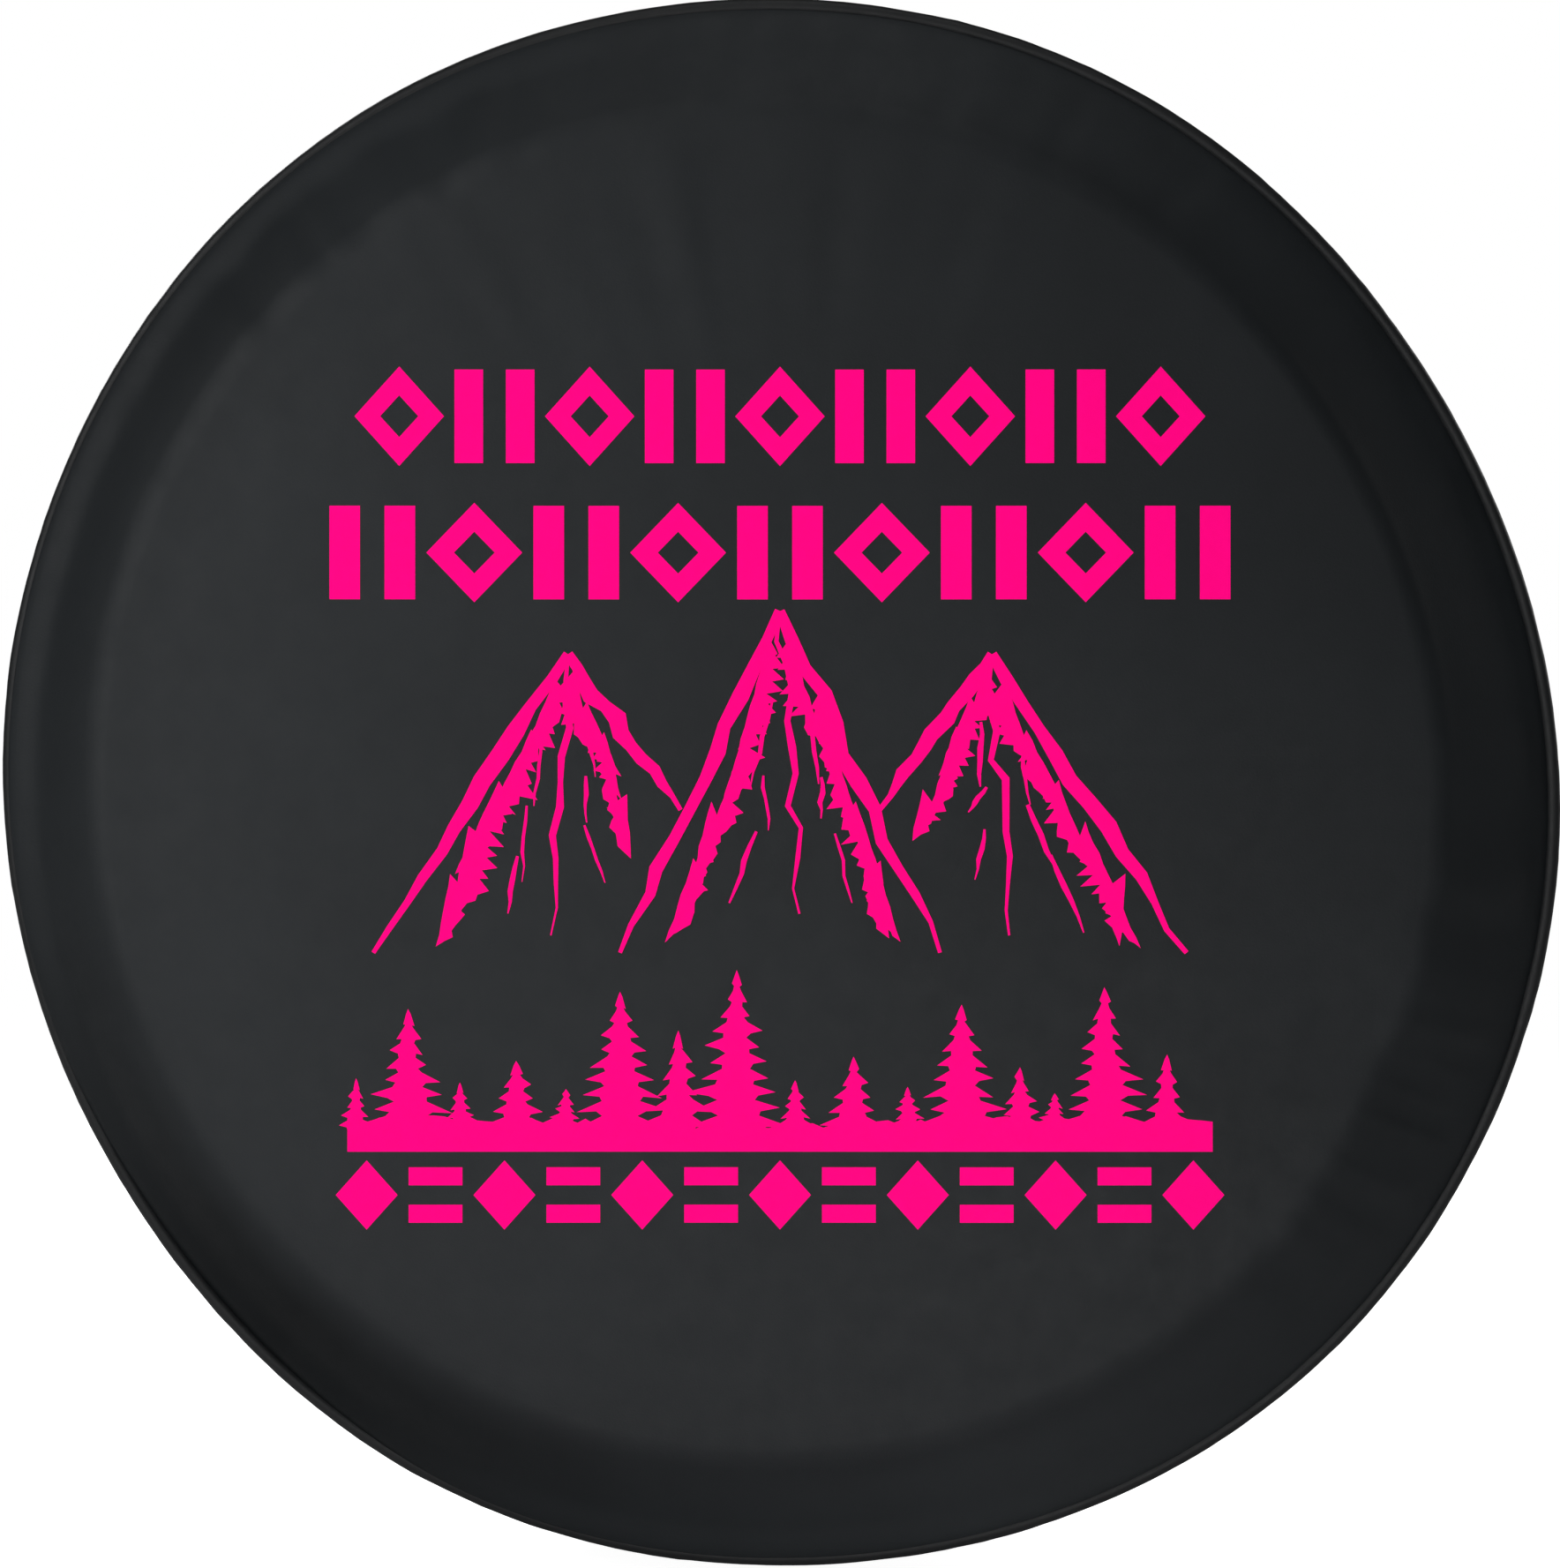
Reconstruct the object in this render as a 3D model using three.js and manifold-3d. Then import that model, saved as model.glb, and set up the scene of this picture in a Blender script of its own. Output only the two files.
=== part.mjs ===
// A soft vinyl cover for a spare tyre, drawn as it sits on the tyre.
// Millimetres, +Z up. The tyre's centre is the origin and its axle is the Y axis: the printed face looks
// along -Y, and the elastic mouth opens along +Y, towards the vehicle.
// Most pieces are turned about Y from a section, whose points are [radius from the axle, depth along Y].

import * as THREE from "three";
import { mergeVertices } from "three/addons/utils/BufferGeometryUtils.js";
import Module from "manifold-3d";

const wasm = await Module();
wasm.setup();

// ---- Driving dimensions ----

const CLOTH = 1.0; // coated vinyl
const LINING = 0.8; // knit behind the face
const THREAD = 0.7;
const GAP = 0.3; // left between pieces that touch
const TURNS = 48; // facets round the tyre
const FACET = Math.cos(Math.PI / TURNS); // a facet's middle is nearer the axle than its corners by this

const BAND_RADIUS = 361.5; // middle of the band's cloth, round a tread of 719 mm
const FACE_DEPTH = -115.5; // middle of the face's cloth
const BACK_DEPTH = 114.5; // middle of the return's cloth, behind the tyre
const FLAT_RADIUS = 304; // the face is flat out to here
const CREST_BEND = 30; // bend radius where the cloth leaves the side wall of the tyre
const LINING_PAST_CREST = 17; // how far down the slope the lining goes
const SLOPE = THREE.MathUtils.degToRad(36); // of the face's rim, from the crest back to the seam
const BAND_START = 9; // the band lies on the tread from this far behind the piping's middle
const REAR_SHOULDER = [BAND_RADIUS, 84]; // where the band turns in behind the tread
const SHOULDER_BEND = 14;
const REAR_CREST = [322, BACK_DEPTH]; // where the return meets the side wall
const REAR_CREST_BEND = 30;
const RETURN_EDGE = 258.2; // radius of the return's raw edge, inside the hem
const CLEAR_OF_PRINT = 215; // above this height the flat face is bare

const PIPING = [362.8, -84]; // middle of the piping's cord
const CORE_RADIUS = 1.9;
const SEAM_ALLOWANCE = 13; // from the piping's middle to the raw edges
const SEAM_LEAN = THREE.MathUtils.degToRad(150); // the raw edges point in and back
const SEAM_STITCHES = 8; // from the piping's middle, along the seam
const FOLD_START = 4; // the cloths turn into the seam this far from the piping's middle
const FOLD_BEND = 0.75;

const HEM_RADIUS = 250; // middle of the hem's tunnel
const ELASTIC_RADIUS = 3;
const ELASTIC_RING = HEM_RADIUS - 0.5; // the elastic pulls in against the tunnel's inner side
const CASING_HOLLOW = 5.4; // radius of the hem's tunnel
const CASING_EDGE = 268; // radius of the casing's two sewn edges
const CASING_STITCHES = 264; // radius of the hem's row of stitches
const FERRULE = { long: 18, bore: 3.5, radius: 4.2 };
const END_GAP = 2; // between the elastic's two ends, inside the ferrule

const JOIN_FRONT = -70; // the two halves of the band are joined from here ...
const JOIN_BACK = 78; // ... to here, at both sides
const ROW_APART = 10; // the two rows of stitches at each join
const TAPE = { thick: 0.8, width: 24 };

const LOCK_RADIUS = 290; // the security eyelets, from the axle ...
const LOCK_ANGLE = THREE.MathUtils.degToRad(25); // ... and either side of the bottom
const DRAIN_DEPTHS = { front: -35, rear: 35 }; // the drain eyelets in the bottom of the band
const LOCK_EYELET = { bore: 5, barrel: 6, flange: 9.5 };
const DRAIN_EYELET = { bore: 4, barrel: 5, flange: 8 };
const EYELET_METAL = 0.9;
const EYELET_LIP = 1.6; // how far the barrel is rolled out over its washer
const EYELET_DOME = 0.5; // the flange's crown, over the metal
const EYELET_MOUTH = 0.3; // the bore's rim, over the metal
const FLANGE_TAPER = { across: 0.7, high: 0.8 * EYELET_METAL }; // the flange's rounded outer edge
const PATCH = { across: 44, deep: 40 }; // doubles the return behind each security eyelet

const LABEL = { width: 30, drop: 48, thick: 0.5, clearance: 0.6 };
const PRINT_FILM = 0.3;
const PRINT_ROWS = {
  upper: { half: 198, low: 147, high: 193 },
  middle: { half: 212, low: 84, high: 130 },
  lower: { half: 207, low: -206, high: -174 },
};
const RANGE = { half: 192, foot: -78, ridge: [[-98, 58], [-50, 2], [0, 78], [50, 2], [98, 58]] };
// The trees are [middle, half the spread, height over the ground].
const PINES = {
  half: 200,
  base: -170,
  ground: -158,
  trees: [
    [-172, 22, 54],
    [-122, 15, 30],
    [-74, 24, 62],
    [-20, 26, 72],
    [34, 15, 32],
    [84, 22, 56],
    [150, 24, 64],
  ],
};

const BEND_STEPS = 2; // straight steps round each bend of a section
const TUNNEL_STEPS = 6; // ... and round the piping and the hem's tunnel
const ELASTIC_STEPS = 64;
const EYELET_SIDES = 16;
const FERRULE_SIDES = 12;
const PUNCH = 20; // length of the tool that cuts an eyelet's hole
const HALF_SPACE = 800; // side of the block that cuts the band in two

// ---- Materials ----

const finish = (color, roughness, metalness = 0) =>
  new THREE.MeshStandardMaterial({ color, roughness, metalness });
const vinyl = finish(0x232527, 0.55);
const knit = finish(0x4a4b4d, 0.95);
const coreCord = finish(0xd8d6cf, 0.6);
const elastic = finish(0x161616, 0.85);
const nickel = finish(0xa9a7a0, 0.3, 1);
const thread = finish(0x1b1b1c, 0.8);
const tape = finish(0x141415, 0.9);
const labelCloth = finish(0xe9e7e1, 0.8);
const film = finish(0xff0080, 0.5);

// ---- Sections ----

// A point from a start, along a direction and then square to it, to the left.
function offsetPoint([r, y], direction, along, left) {
  const c = Math.cos(direction);
  const s = Math.sin(direction);
  return [r + along * c - left * s, y + along * s + left * c];
}

// The line with each inner corner rounded: corners is a list of [radius, depth, bend radius].
function rounded(corners, steps) {
  const line = [];
  corners.forEach(([r, y, bend], i) => {
    const here = new THREE.Vector2(r, y);
    if (!bend) {
      line.push(here);
      return;
    }
    const before = new THREE.Vector2(...corners[i - 1].slice(0, 2)).sub(here).normalize();
    const after = new THREE.Vector2(...corners[i + 1].slice(0, 2)).sub(here).normalize();
    const half = Math.acos(THREE.MathUtils.clamp(before.dot(after), -1, 1)) / 2;
    const reach = bend / Math.tan(half);
    const from = here.clone().addScaledVector(before, reach);
    const to = here.clone().addScaledVector(after, reach);
    const middle = before.clone().add(after).normalize().multiplyScalar(bend / Math.sin(half)).add(here);
    const first = from.clone().sub(middle);
    const turn = Math.atan2(first.cross(to.clone().sub(middle)), first.dot(to.clone().sub(middle)));
    for (let k = 0; k <= steps; k++) {
      line.push(first.clone().rotateAround(new THREE.Vector2(), (turn * k) / steps).add(middle));
    }
  });
  return line;
}

// The line moved to its left by a distance, or to its right by a negative one.
function besideLine(line, distance) {
  return line.map((p, i) => {
    const before = p.clone().sub(line[Math.max(i - 1, 0)]);
    const after = line[Math.min(i + 1, line.length - 1)].clone().sub(p);
    const a = (i ? before : after).normalize();
    const b = (i < line.length - 1 ? after : before).normalize();
    const square = new THREE.Vector2(-(a.y + b.y), a.x + b.x).normalize();
    const stretch = distance / Math.max(square.dot(new THREE.Vector2(-b.y, b.x)), 0.5);
    return p.clone().addScaledVector(square, stretch);
  });
}

// The outline of a layer of cloth of that thickness along a middle line.
function layer(line, thickness) {
  return [...besideLine(line, -thickness / 2), ...besideLine(line, thickness / 2).reverse()];
}

// The way round a middle, from one side of a mouth that opens at an angle to its other side.
function tunnel([r, y], radius, angle, mouth) {
  return Array.from({ length: TUNNEL_STEPS + 1 }, (_, k) => {
    const turn = angle - mouth - ((2 * Math.PI - 2 * mouth) * k) / TUNNEL_STEPS;
    return new THREE.Vector2(r + radius * Math.cos(turn), y + radius * Math.sin(turn));
  });
}

// ---- Solids ----

// The section turned about Y. A section that touches the axle closes there, and any other on itself.
// A facet is centred on each side, on the top and on the bottom, so neither join runs along an edge.
function turned(section, turns = TURNS) {
  const ring = THREE.ShapeUtils.area(section) < 0 ? [...section].reverse() : [...section];
  const onAxle = ring.filter((p) => p.x < 1e-6).length;
  if (onAxle) {
    while (!(ring[0].x < 1e-6 && ring[ring.length - 1].x < 1e-6)) {
      ring.push(ring.shift());
    }
  } else {
    ring.push(ring[0].clone());
  }
  return new THREE.LatheGeometry(ring, turns, Math.PI / turns);
}

function toSolid(geometry) {
  const bare = geometry.index ? geometry.toNonIndexed() : geometry.clone();
  bare.deleteAttribute("normal");
  bare.deleteAttribute("uv");
  const merged = mergeVertices(bare, 1e-4);
  return new wasm.Manifold(
    new wasm.Mesh({
      numProp: 3,
      vertProperties: merged.attributes.position.array,
      triVerts: new Uint32Array(merged.index.array),
    }),
  );
}

function toGeometry(solid) {
  const mesh = solid.getMesh();
  const geometry = new THREE.BufferGeometry();
  geometry.setAttribute("position", new THREE.BufferAttribute(new Float32Array(mesh.vertProperties), 3));
  geometry.setIndex(new THREE.BufferAttribute(new Uint32Array(mesh.triVerts), 1));
  return geometry;
}

function cut(geometry, ...tools) {
  return toGeometry(tools.reduce((rest, tool) => rest.subtract(toSolid(tool)), toSolid(geometry)));
}

// A shape drawn as [across, height] in the face's plane, given thickness backwards from a depth.
function plate(shape, depth, thickness) {
  const geometry = new THREE.ExtrudeGeometry(shape, { depth: thickness, bevelEnabled: false });
  geometry.rotateX(Math.PI / 2);
  return geometry.translate(0, depth + thickness, 0);
}

function rectangle(x0, z0, x1, z1) {
  return new THREE.Shape([
    new THREE.Vector2(x0, z0),
    new THREE.Vector2(x1, z0),
    new THREE.Vector2(x1, z1),
    new THREE.Vector2(x0, z1),
  ]);
}

const cover = new THREE.Group();

function place(name, geometry, material, parent = cover) {
  const mesh = new THREE.Mesh(geometry, material);
  mesh.name = name;
  parent.add(mesh);
  return mesh;
}

// ---- The face, its lining and the piping seam ----

const tailLayer = GAP / 2 + CLOTH / 2; // each tail of the piping's wrap, from the seam's middle line
const flangeLayer = GAP / 2 + CLOTH + GAP + CLOTH / 2; // the face's and the band's edges, outside the tails
const inSeam = (along, left) => offsetPoint(PIPING, SEAM_LEAN, along, left);

const faceLine = rounded(
  [
    [0, FACE_DEPTH],
    [CLEAR_OF_PRINT, FACE_DEPTH],
    [FLAT_RADIUS + CREST_BEND * Math.tan(SLOPE / 2), FACE_DEPTH, CREST_BEND],
    [...inSeam(FOLD_START, flangeLayer), FOLD_BEND],
    inSeam(SEAM_ALLOWANCE, flangeLayer),
  ],
  BEND_STEPS,
);
place("face_panel", turned(layer(faceLine, CLOTH)), vinyl);

const seamPoints = BEND_STEPS + 2; // the face's fold into the seam, and its raw edge
const liningLine = besideLine(faceLine.slice(0, -seamPoints), CLOTH / 2 + GAP + LINING / 2);
liningLine.push(
  liningLine[liningLine.length - 1]
    .clone()
    .add(new THREE.Vector2(Math.cos(SLOPE), Math.sin(SLOPE)).multiplyScalar(LINING_PAST_CREST)),
);
place("face_lining", turned(layer(liningLine, LINING)), knit);

const wrapRadius = CORE_RADIUS + GAP + CLOTH / 2;
const wrapMouth = Math.asin(tailLayer / wrapRadius);
const wrapLine = [
  new THREE.Vector2(...inSeam(SEAM_ALLOWANCE, -tailLayer)),
  ...tunnel(PIPING, wrapRadius, SEAM_LEAN, wrapMouth),
  new THREE.Vector2(...inSeam(SEAM_ALLOWANCE, tailLayer)),
];
place("piping_wrap", turned(layer(wrapLine, CLOTH)), vinyl);

// The outline of a round or square bar, for a ring of it.
function barSection(radius, depth, size, sides) {
  return Array.from({ length: sides }, (_, k) => {
    const turn = (2 * Math.PI * (k + 0.5)) / sides;
    return new THREE.Vector2(radius + size * Math.cos(turn), depth + size * Math.sin(turn));
  });
}
place("piping_core", turned(barSection(...PIPING, CORE_RADIUS, 6)), coreCord);
place(
  "face_seam_thread",
  turned(barSection(...inSeam(SEAM_STITCHES, -flangeLayer - CLOTH / 2 - GAP - THREAD / 2), THREAD / 2, 4)),
  thread,
);

// ---- The band round the tread, in two halves, with the return behind the tyre ----

const bandLine = rounded(
  [
    inSeam(SEAM_ALLOWANCE, -flangeLayer),
    [...inSeam(FOLD_START, -flangeLayer), FOLD_BEND],
    [BAND_RADIUS, PIPING[1] + BAND_START],
    [...REAR_SHOULDER, SHOULDER_BEND],
    [...REAR_CREST, REAR_CREST_BEND],
    [RETURN_EDGE, BACK_DEPTH],
  ],
  BEND_STEPS,
);
const wholeBand = turned(layer(bandLine, CLOTH));

function halfSpace(side) {
  const box = new THREE.BoxGeometry(HALF_SPACE, HALF_SPACE, HALF_SPACE);
  return box.translate(0, 0, side * (HALF_SPACE / 2 - GAP / 2));
}

const lockPlaces = { left: -LOCK_ANGLE, right: LOCK_ANGLE };
function holeThrough({ barrel }) {
  return new THREE.CylinderGeometry(barrel + GAP, barrel + GAP, PUNCH, EYELET_SIDES);
}
const lockHoles = Object.values(lockPlaces).map((angle) => {
  const hole = holeThrough(LOCK_EYELET);
  return hole.translate(LOCK_RADIUS * Math.sin(angle), BACK_DEPTH, -LOCK_RADIUS * Math.cos(angle));
});
const drainHoles = Object.values(DRAIN_DEPTHS).map((depth) =>
  holeThrough(DRAIN_EYELET).rotateX(Math.PI / 2).translate(0, depth, -BAND_RADIUS),
);
place("band_upper", cut(wholeBand, halfSpace(-1)), vinyl);
place("band_lower", cut(wholeBand, halfSpace(1), ...lockHoles, ...drainHoles), vinyl);

const joinLong = JOIN_BACK - JOIN_FRONT;
const joinMiddle = (JOIN_FRONT + JOIN_BACK) / 2;
// A shape drawn as [depth along Y, height], given thickness along X.
const DEPTH_AND_HEIGHT = new THREE.Matrix4().makeBasis(
  new THREE.Vector3(0, 1, 0),
  new THREE.Vector3(0, 0, 1),
  new THREE.Vector3(1, 0, 0),
);

for (const [side, sign] of [["left", -1], ["right", 1]]) {
  const strip = new THREE.BoxGeometry(TAPE.thick, joinLong, TAPE.width);
  const inner = (BAND_RADIUS - CLOTH / 2) * FACET - GAP - TAPE.thick / 2;
  place(`join_tape_${side}`, strip.translate(sign * inner, joinMiddle, 0), tape);

  const half = ROW_APART / 2;
  const rows = rectangle(JOIN_FRONT, -half - THREAD, JOIN_BACK, half + THREAD);
  rows.holes.push(rectangle(JOIN_FRONT + THREAD, -half, JOIN_BACK - THREAD, half));
  const stitches = new THREE.ExtrudeGeometry(rows, { depth: THREAD, bevelEnabled: false });
  const outer = BAND_RADIUS + CLOTH / 2 + GAP + THREAD / 2;
  stitches.translate(0, 0, -THREAD / 2).applyMatrix4(DEPTH_AND_HEIGHT);
  place(`join_thread_${side}`, stitches.translate(sign * outer, 0, 0), thread);
}

// ---- The hem: casing, elastic and its ferrule ----

const casingRadius = CASING_HOLLOW + CLOTH / 2;
const edgeLayer = CLOTH / 2 + GAP + CLOTH / 2;
const casingMouth = Math.asin(edgeLayer / casingRadius);
const casingLine = [
  new THREE.Vector2(CASING_EDGE, BACK_DEPTH - edgeLayer),
  ...tunnel([HEM_RADIUS, BACK_DEPTH], casingRadius, 0, casingMouth),
  new THREE.Vector2(CASING_EDGE, BACK_DEPTH + edgeLayer),
];
place("hem_casing", turned(layer(casingLine, CLOTH)), vinyl);

const hemThreadDepth = BACK_DEPTH + edgeLayer + CLOTH / 2 + GAP + THREAD / 2;
place("hem_thread", turned(barSection(CASING_STITCHES, hemThreadDepth, THREAD / 2, 4)), thread);

class ElasticRun extends THREE.Curve {
  getPoint(t, target = new THREE.Vector3()) {
    const half = END_GAP / 2 / ELASTIC_RING;
    const turn = -Math.PI / 2 + half + t * (2 * Math.PI - 2 * half);
    return target.set(ELASTIC_RING * Math.cos(turn), BACK_DEPTH, ELASTIC_RING * Math.sin(turn));
  }
}
const cordSection = new THREE.Shape(
  Array.from({ length: 8 }, (_, k) => {
    const turn = (Math.PI * k) / 4;
    return new THREE.Vector2(ELASTIC_RADIUS * Math.cos(turn), ELASTIC_RADIUS * Math.sin(turn));
  }),
);
place(
  "elastic_cord",
  new THREE.ExtrudeGeometry(cordSection, {
    extrudePath: new ElasticRun(),
    steps: ELASTIC_STEPS,
    bevelEnabled: false,
  }),
  elastic,
);
const sleeve = layer(
  [
    new THREE.Vector2((FERRULE.bore + FERRULE.radius) / 2, -FERRULE.long / 2),
    new THREE.Vector2((FERRULE.bore + FERRULE.radius) / 2, FERRULE.long / 2),
  ],
  FERRULE.radius - FERRULE.bore,
);
const ferrule = place("elastic_ferrule", turned(sleeve, FERRULE_SIDES), nickel);
ferrule.rotation.z = Math.PI / 2;
ferrule.position.set(0, BACK_DEPTH, -ELASTIC_RING);

// ---- Eyelets, washers and the patches behind them ----

// Drawn about its own Y axis, which points out of the cover: the cloth's outside is at 0.
function eyeletSection({ bore, barrel, flange }, stack) {
  const under = -stack - 2 * GAP - EYELET_METAL;
  return [
    [bore, GAP + EYELET_METAL + EYELET_MOUTH],
    [bore, under - EYELET_METAL],
    [barrel + EYELET_LIP, under - EYELET_METAL],
    [barrel + EYELET_LIP, under],
    [barrel, under],
    [barrel, GAP],
    [flange, GAP],
    [flange - FLANGE_TAPER.across, GAP + FLANGE_TAPER.high],
    [(bore + flange) / 2, GAP + EYELET_METAL + EYELET_DOME],
  ].map(([r, y]) => new THREE.Vector2(r, y));
}

function washerSection({ barrel, flange }, stack) {
  const top = -stack - GAP;
  return [
    [barrel + GAP, top],
    [barrel + GAP, top - EYELET_METAL],
    [flange, top - EYELET_METAL],
    [flange, top],
  ].map(([r, y]) => new THREE.Vector2(r, y));
}

function addEyelet(prefix, suffix, size, stack, position, tilt) {
  const group = new THREE.Group();
  group.position.set(...position);
  group.rotation.x = tilt;
  cover.add(group);
  place(`${prefix}_eyelet_${suffix}`, turned(eyeletSection(size, stack), EYELET_SIDES), nickel, group);
  place(`${prefix}_washer_${suffix}`, turned(washerSection(size, stack), EYELET_SIDES), nickel, group);
}

for (const [side, angle] of Object.entries(lockPlaces)) {
  const x = LOCK_RADIUS * Math.sin(angle);
  const z = -LOCK_RADIUS * Math.cos(angle);
  addEyelet("lock", side, LOCK_EYELET, 2 * CLOTH + GAP, [x, BACK_DEPTH + CLOTH / 2, z], 0);

  const outline = rectangle(-PATCH.across / 2, -PATCH.deep / 2, PATCH.across / 2, PATCH.deep / 2);
  outline.holes.push(new THREE.Path().absarc(0, 0, LOCK_EYELET.barrel + GAP, 0, 2 * Math.PI, true));
  const patch = new THREE.ExtrudeGeometry(outline, {
    depth: CLOTH,
    bevelEnabled: false,
    curveSegments: EYELET_SIDES / 2,
  });
  patch.rotateX(Math.PI / 2).translate(0, CLOTH, 0);
  const mesh = place(`lock_patch_${side}`, patch, vinyl);
  mesh.position.set(x, BACK_DEPTH - CLOTH / 2 - GAP - CLOTH, z);
  mesh.rotation.y = -angle;
}
for (const [end, depth] of Object.entries(DRAIN_DEPTHS)) {
  const outside = (BAND_RADIUS + CLOTH / 2) * FACET;
  addEyelet("drain", end, DRAIN_EYELET, CLOTH, [0, depth, -outside], -Math.PI / 2);
}

// ---- The care label, sewn in at the top of the mouth and hanging free ----

const labelTop = (HEM_RADIUS - casingRadius - CLOTH / 2) * FACET - LABEL.clearance;
const label = new THREE.BoxGeometry(LABEL.width, LABEL.thick, LABEL.drop);
place("care_label", label.translate(0, BACK_DEPTH, labelTop - LABEL.drop / 2), labelCloth);

// ---- The print: films of colour on the flat face ----

const filmDepth = FACE_DEPTH - CLOTH / 2 - GAP - PRINT_FILM;

function printFilm(name, shape) {
  place(name, plate(shape, filmDepth, PRINT_FILM), film);
}

for (const [name, { half, low, high }] of Object.entries(PRINT_ROWS)) {
  printFilm(`print_row_${name}`, rectangle(-half, low, half, high));
}
const range = new THREE.Shape();
range.moveTo(-RANGE.half, RANGE.foot);
for (const [x, z] of RANGE.ridge) {
  range.lineTo(x, z);
}
range.lineTo(RANGE.half, RANGE.foot);
printFilm("print_mountains", range);

const pines = new THREE.Shape();
pines.moveTo(-PINES.half, PINES.base);
pines.lineTo(-PINES.half, PINES.ground);
for (const [middle, spread, tall] of PINES.trees) {
  pines.lineTo(middle - spread, PINES.ground);
  pines.lineTo(middle, PINES.ground + tall);
  pines.lineTo(middle + spread, PINES.ground);
}
pines.lineTo(PINES.half, PINES.ground);
pines.lineTo(PINES.half, PINES.base);
printFilm("print_pines", pines);

export default cover;
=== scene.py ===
import math
import random

import bpy
from mathutils import Matrix, Vector, noise


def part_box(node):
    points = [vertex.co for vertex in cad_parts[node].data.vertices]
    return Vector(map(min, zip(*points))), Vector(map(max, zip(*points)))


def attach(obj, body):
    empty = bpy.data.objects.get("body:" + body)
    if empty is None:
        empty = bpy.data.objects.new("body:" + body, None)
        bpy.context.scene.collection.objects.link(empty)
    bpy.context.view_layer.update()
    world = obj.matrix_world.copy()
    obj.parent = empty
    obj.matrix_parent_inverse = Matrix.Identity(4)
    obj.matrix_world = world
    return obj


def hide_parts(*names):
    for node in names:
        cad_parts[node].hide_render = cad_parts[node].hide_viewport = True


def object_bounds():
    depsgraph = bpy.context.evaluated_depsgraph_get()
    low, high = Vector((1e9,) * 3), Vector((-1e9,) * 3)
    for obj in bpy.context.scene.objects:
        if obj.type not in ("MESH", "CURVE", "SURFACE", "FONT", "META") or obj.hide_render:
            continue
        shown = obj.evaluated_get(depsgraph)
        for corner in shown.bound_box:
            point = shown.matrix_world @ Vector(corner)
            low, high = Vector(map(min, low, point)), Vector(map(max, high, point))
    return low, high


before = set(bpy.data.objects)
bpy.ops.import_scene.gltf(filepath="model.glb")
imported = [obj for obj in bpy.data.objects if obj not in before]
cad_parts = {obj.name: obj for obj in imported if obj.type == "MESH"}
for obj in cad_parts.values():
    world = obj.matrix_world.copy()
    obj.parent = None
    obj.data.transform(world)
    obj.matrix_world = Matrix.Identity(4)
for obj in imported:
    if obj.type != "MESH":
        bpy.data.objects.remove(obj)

# A soft vinyl spare tyre cover on its tyre, in metres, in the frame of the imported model.
# The axle is the Y axis: the printed face looks along -Y and the elastic mouth opens along +Y.
# A place on a ring is given by its bearing, in degrees from +X towards +Z, as the face is seen.

cad_low, cad_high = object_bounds()

# ---- Sizes ----

MM = 0.001
FACET = math.cos(math.pi / 48)  # the frame's rings have 48 facets, one of them centred on each side


def rim(node):
    """The outer radius of a ring of the frame."""
    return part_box(node)[1].x / FACET


CLOTH = 1.0 * MM
KNIT = 0.8 * MM
WRAP = 3.2 * MM  # radius of the wrapped piping
PIPING_RADIUS = rim("piping_wrap") - WRAP
PIPING_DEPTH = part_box("piping_wrap")[0].y + WRAP
FACE_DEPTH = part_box("face_panel")[0].y
CREST_RADIUS = 0.857 * rim("piping_wrap")  # where the face turns off the side wall
CREST_BEND = 24 * MM
SLOPE = math.radians(35.5)
BAND_RADIUS = rim("band_upper")
SHOULDER_DEPTH = 84 * MM
RETURN_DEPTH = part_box("band_upper")[1].y
HEM_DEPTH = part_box("elastic_cord")[0].y + 3 * MM
HEM_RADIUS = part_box("elastic_cord")[1].x - 2.5 * MM
HEM_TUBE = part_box("hem_casing")[1].y - HEM_DEPTH
ROUND = 384  # steps round the tyre in the smooth pieces


# ---- Modelling by hand: selections, lines, spins ----


def only(piece):
    """Selects the piece and nothing else."""
    bpy.ops.object.select_all(action="DESELECT")
    piece.select_set(True)
    bpy.context.view_layer.objects.active = piece


def open_up(piece):
    """Goes into edit mode on the piece alone, with all of it selected."""
    only(piece)
    bpy.ops.object.mode_set(mode="EDIT")
    bpy.ops.mesh.select_mode(type="VERT")
    bpy.ops.mesh.select_all(action="SELECT")


def close_up():
    bpy.ops.object.mode_set(mode="OBJECT")


def pick(piece, wanted):
    """Selects the vertices at the places that wanted() says yes to. The piece is in edit mode before and after."""
    bpy.ops.mesh.select_all(action="DESELECT")
    close_up()
    for vertex in piece.data.vertices:
        vertex.select = wanted(vertex.co)
    bpy.ops.object.mode_set(mode="EDIT")


def finish_modifier(piece, kind, **settings):
    """Adds a modifier with these settings and applies it."""
    only(piece)
    bpy.ops.object.modifier_add(type=kind)
    modifier = piece.modifiers[-1]
    for name, value in settings.items():
        setattr(modifier, name, value)
    bpy.ops.object.modifier_apply(modifier=modifier.name)


def point_piece(name, place):
    """A new piece that is one vertex, left in edit mode: the start of every drawn line."""
    bpy.ops.object.select_all(action="DESELECT")
    bpy.ops.mesh.primitive_plane_add(size=CLOTH)
    piece = bpy.context.object
    piece.name = name
    piece.data.name = name
    open_up(piece)
    bpy.ops.mesh.merge(type="CENTER")
    bpy.ops.transform.translate(value=place)
    return piece


def draw_on(points):
    """Extrudes the selected vertex along the points."""
    for start, end in zip(points, points[1:]):
        bpy.ops.mesh.extrude_vertices_move(TRANSFORM_OT_translate={"value": end - start})


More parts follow.
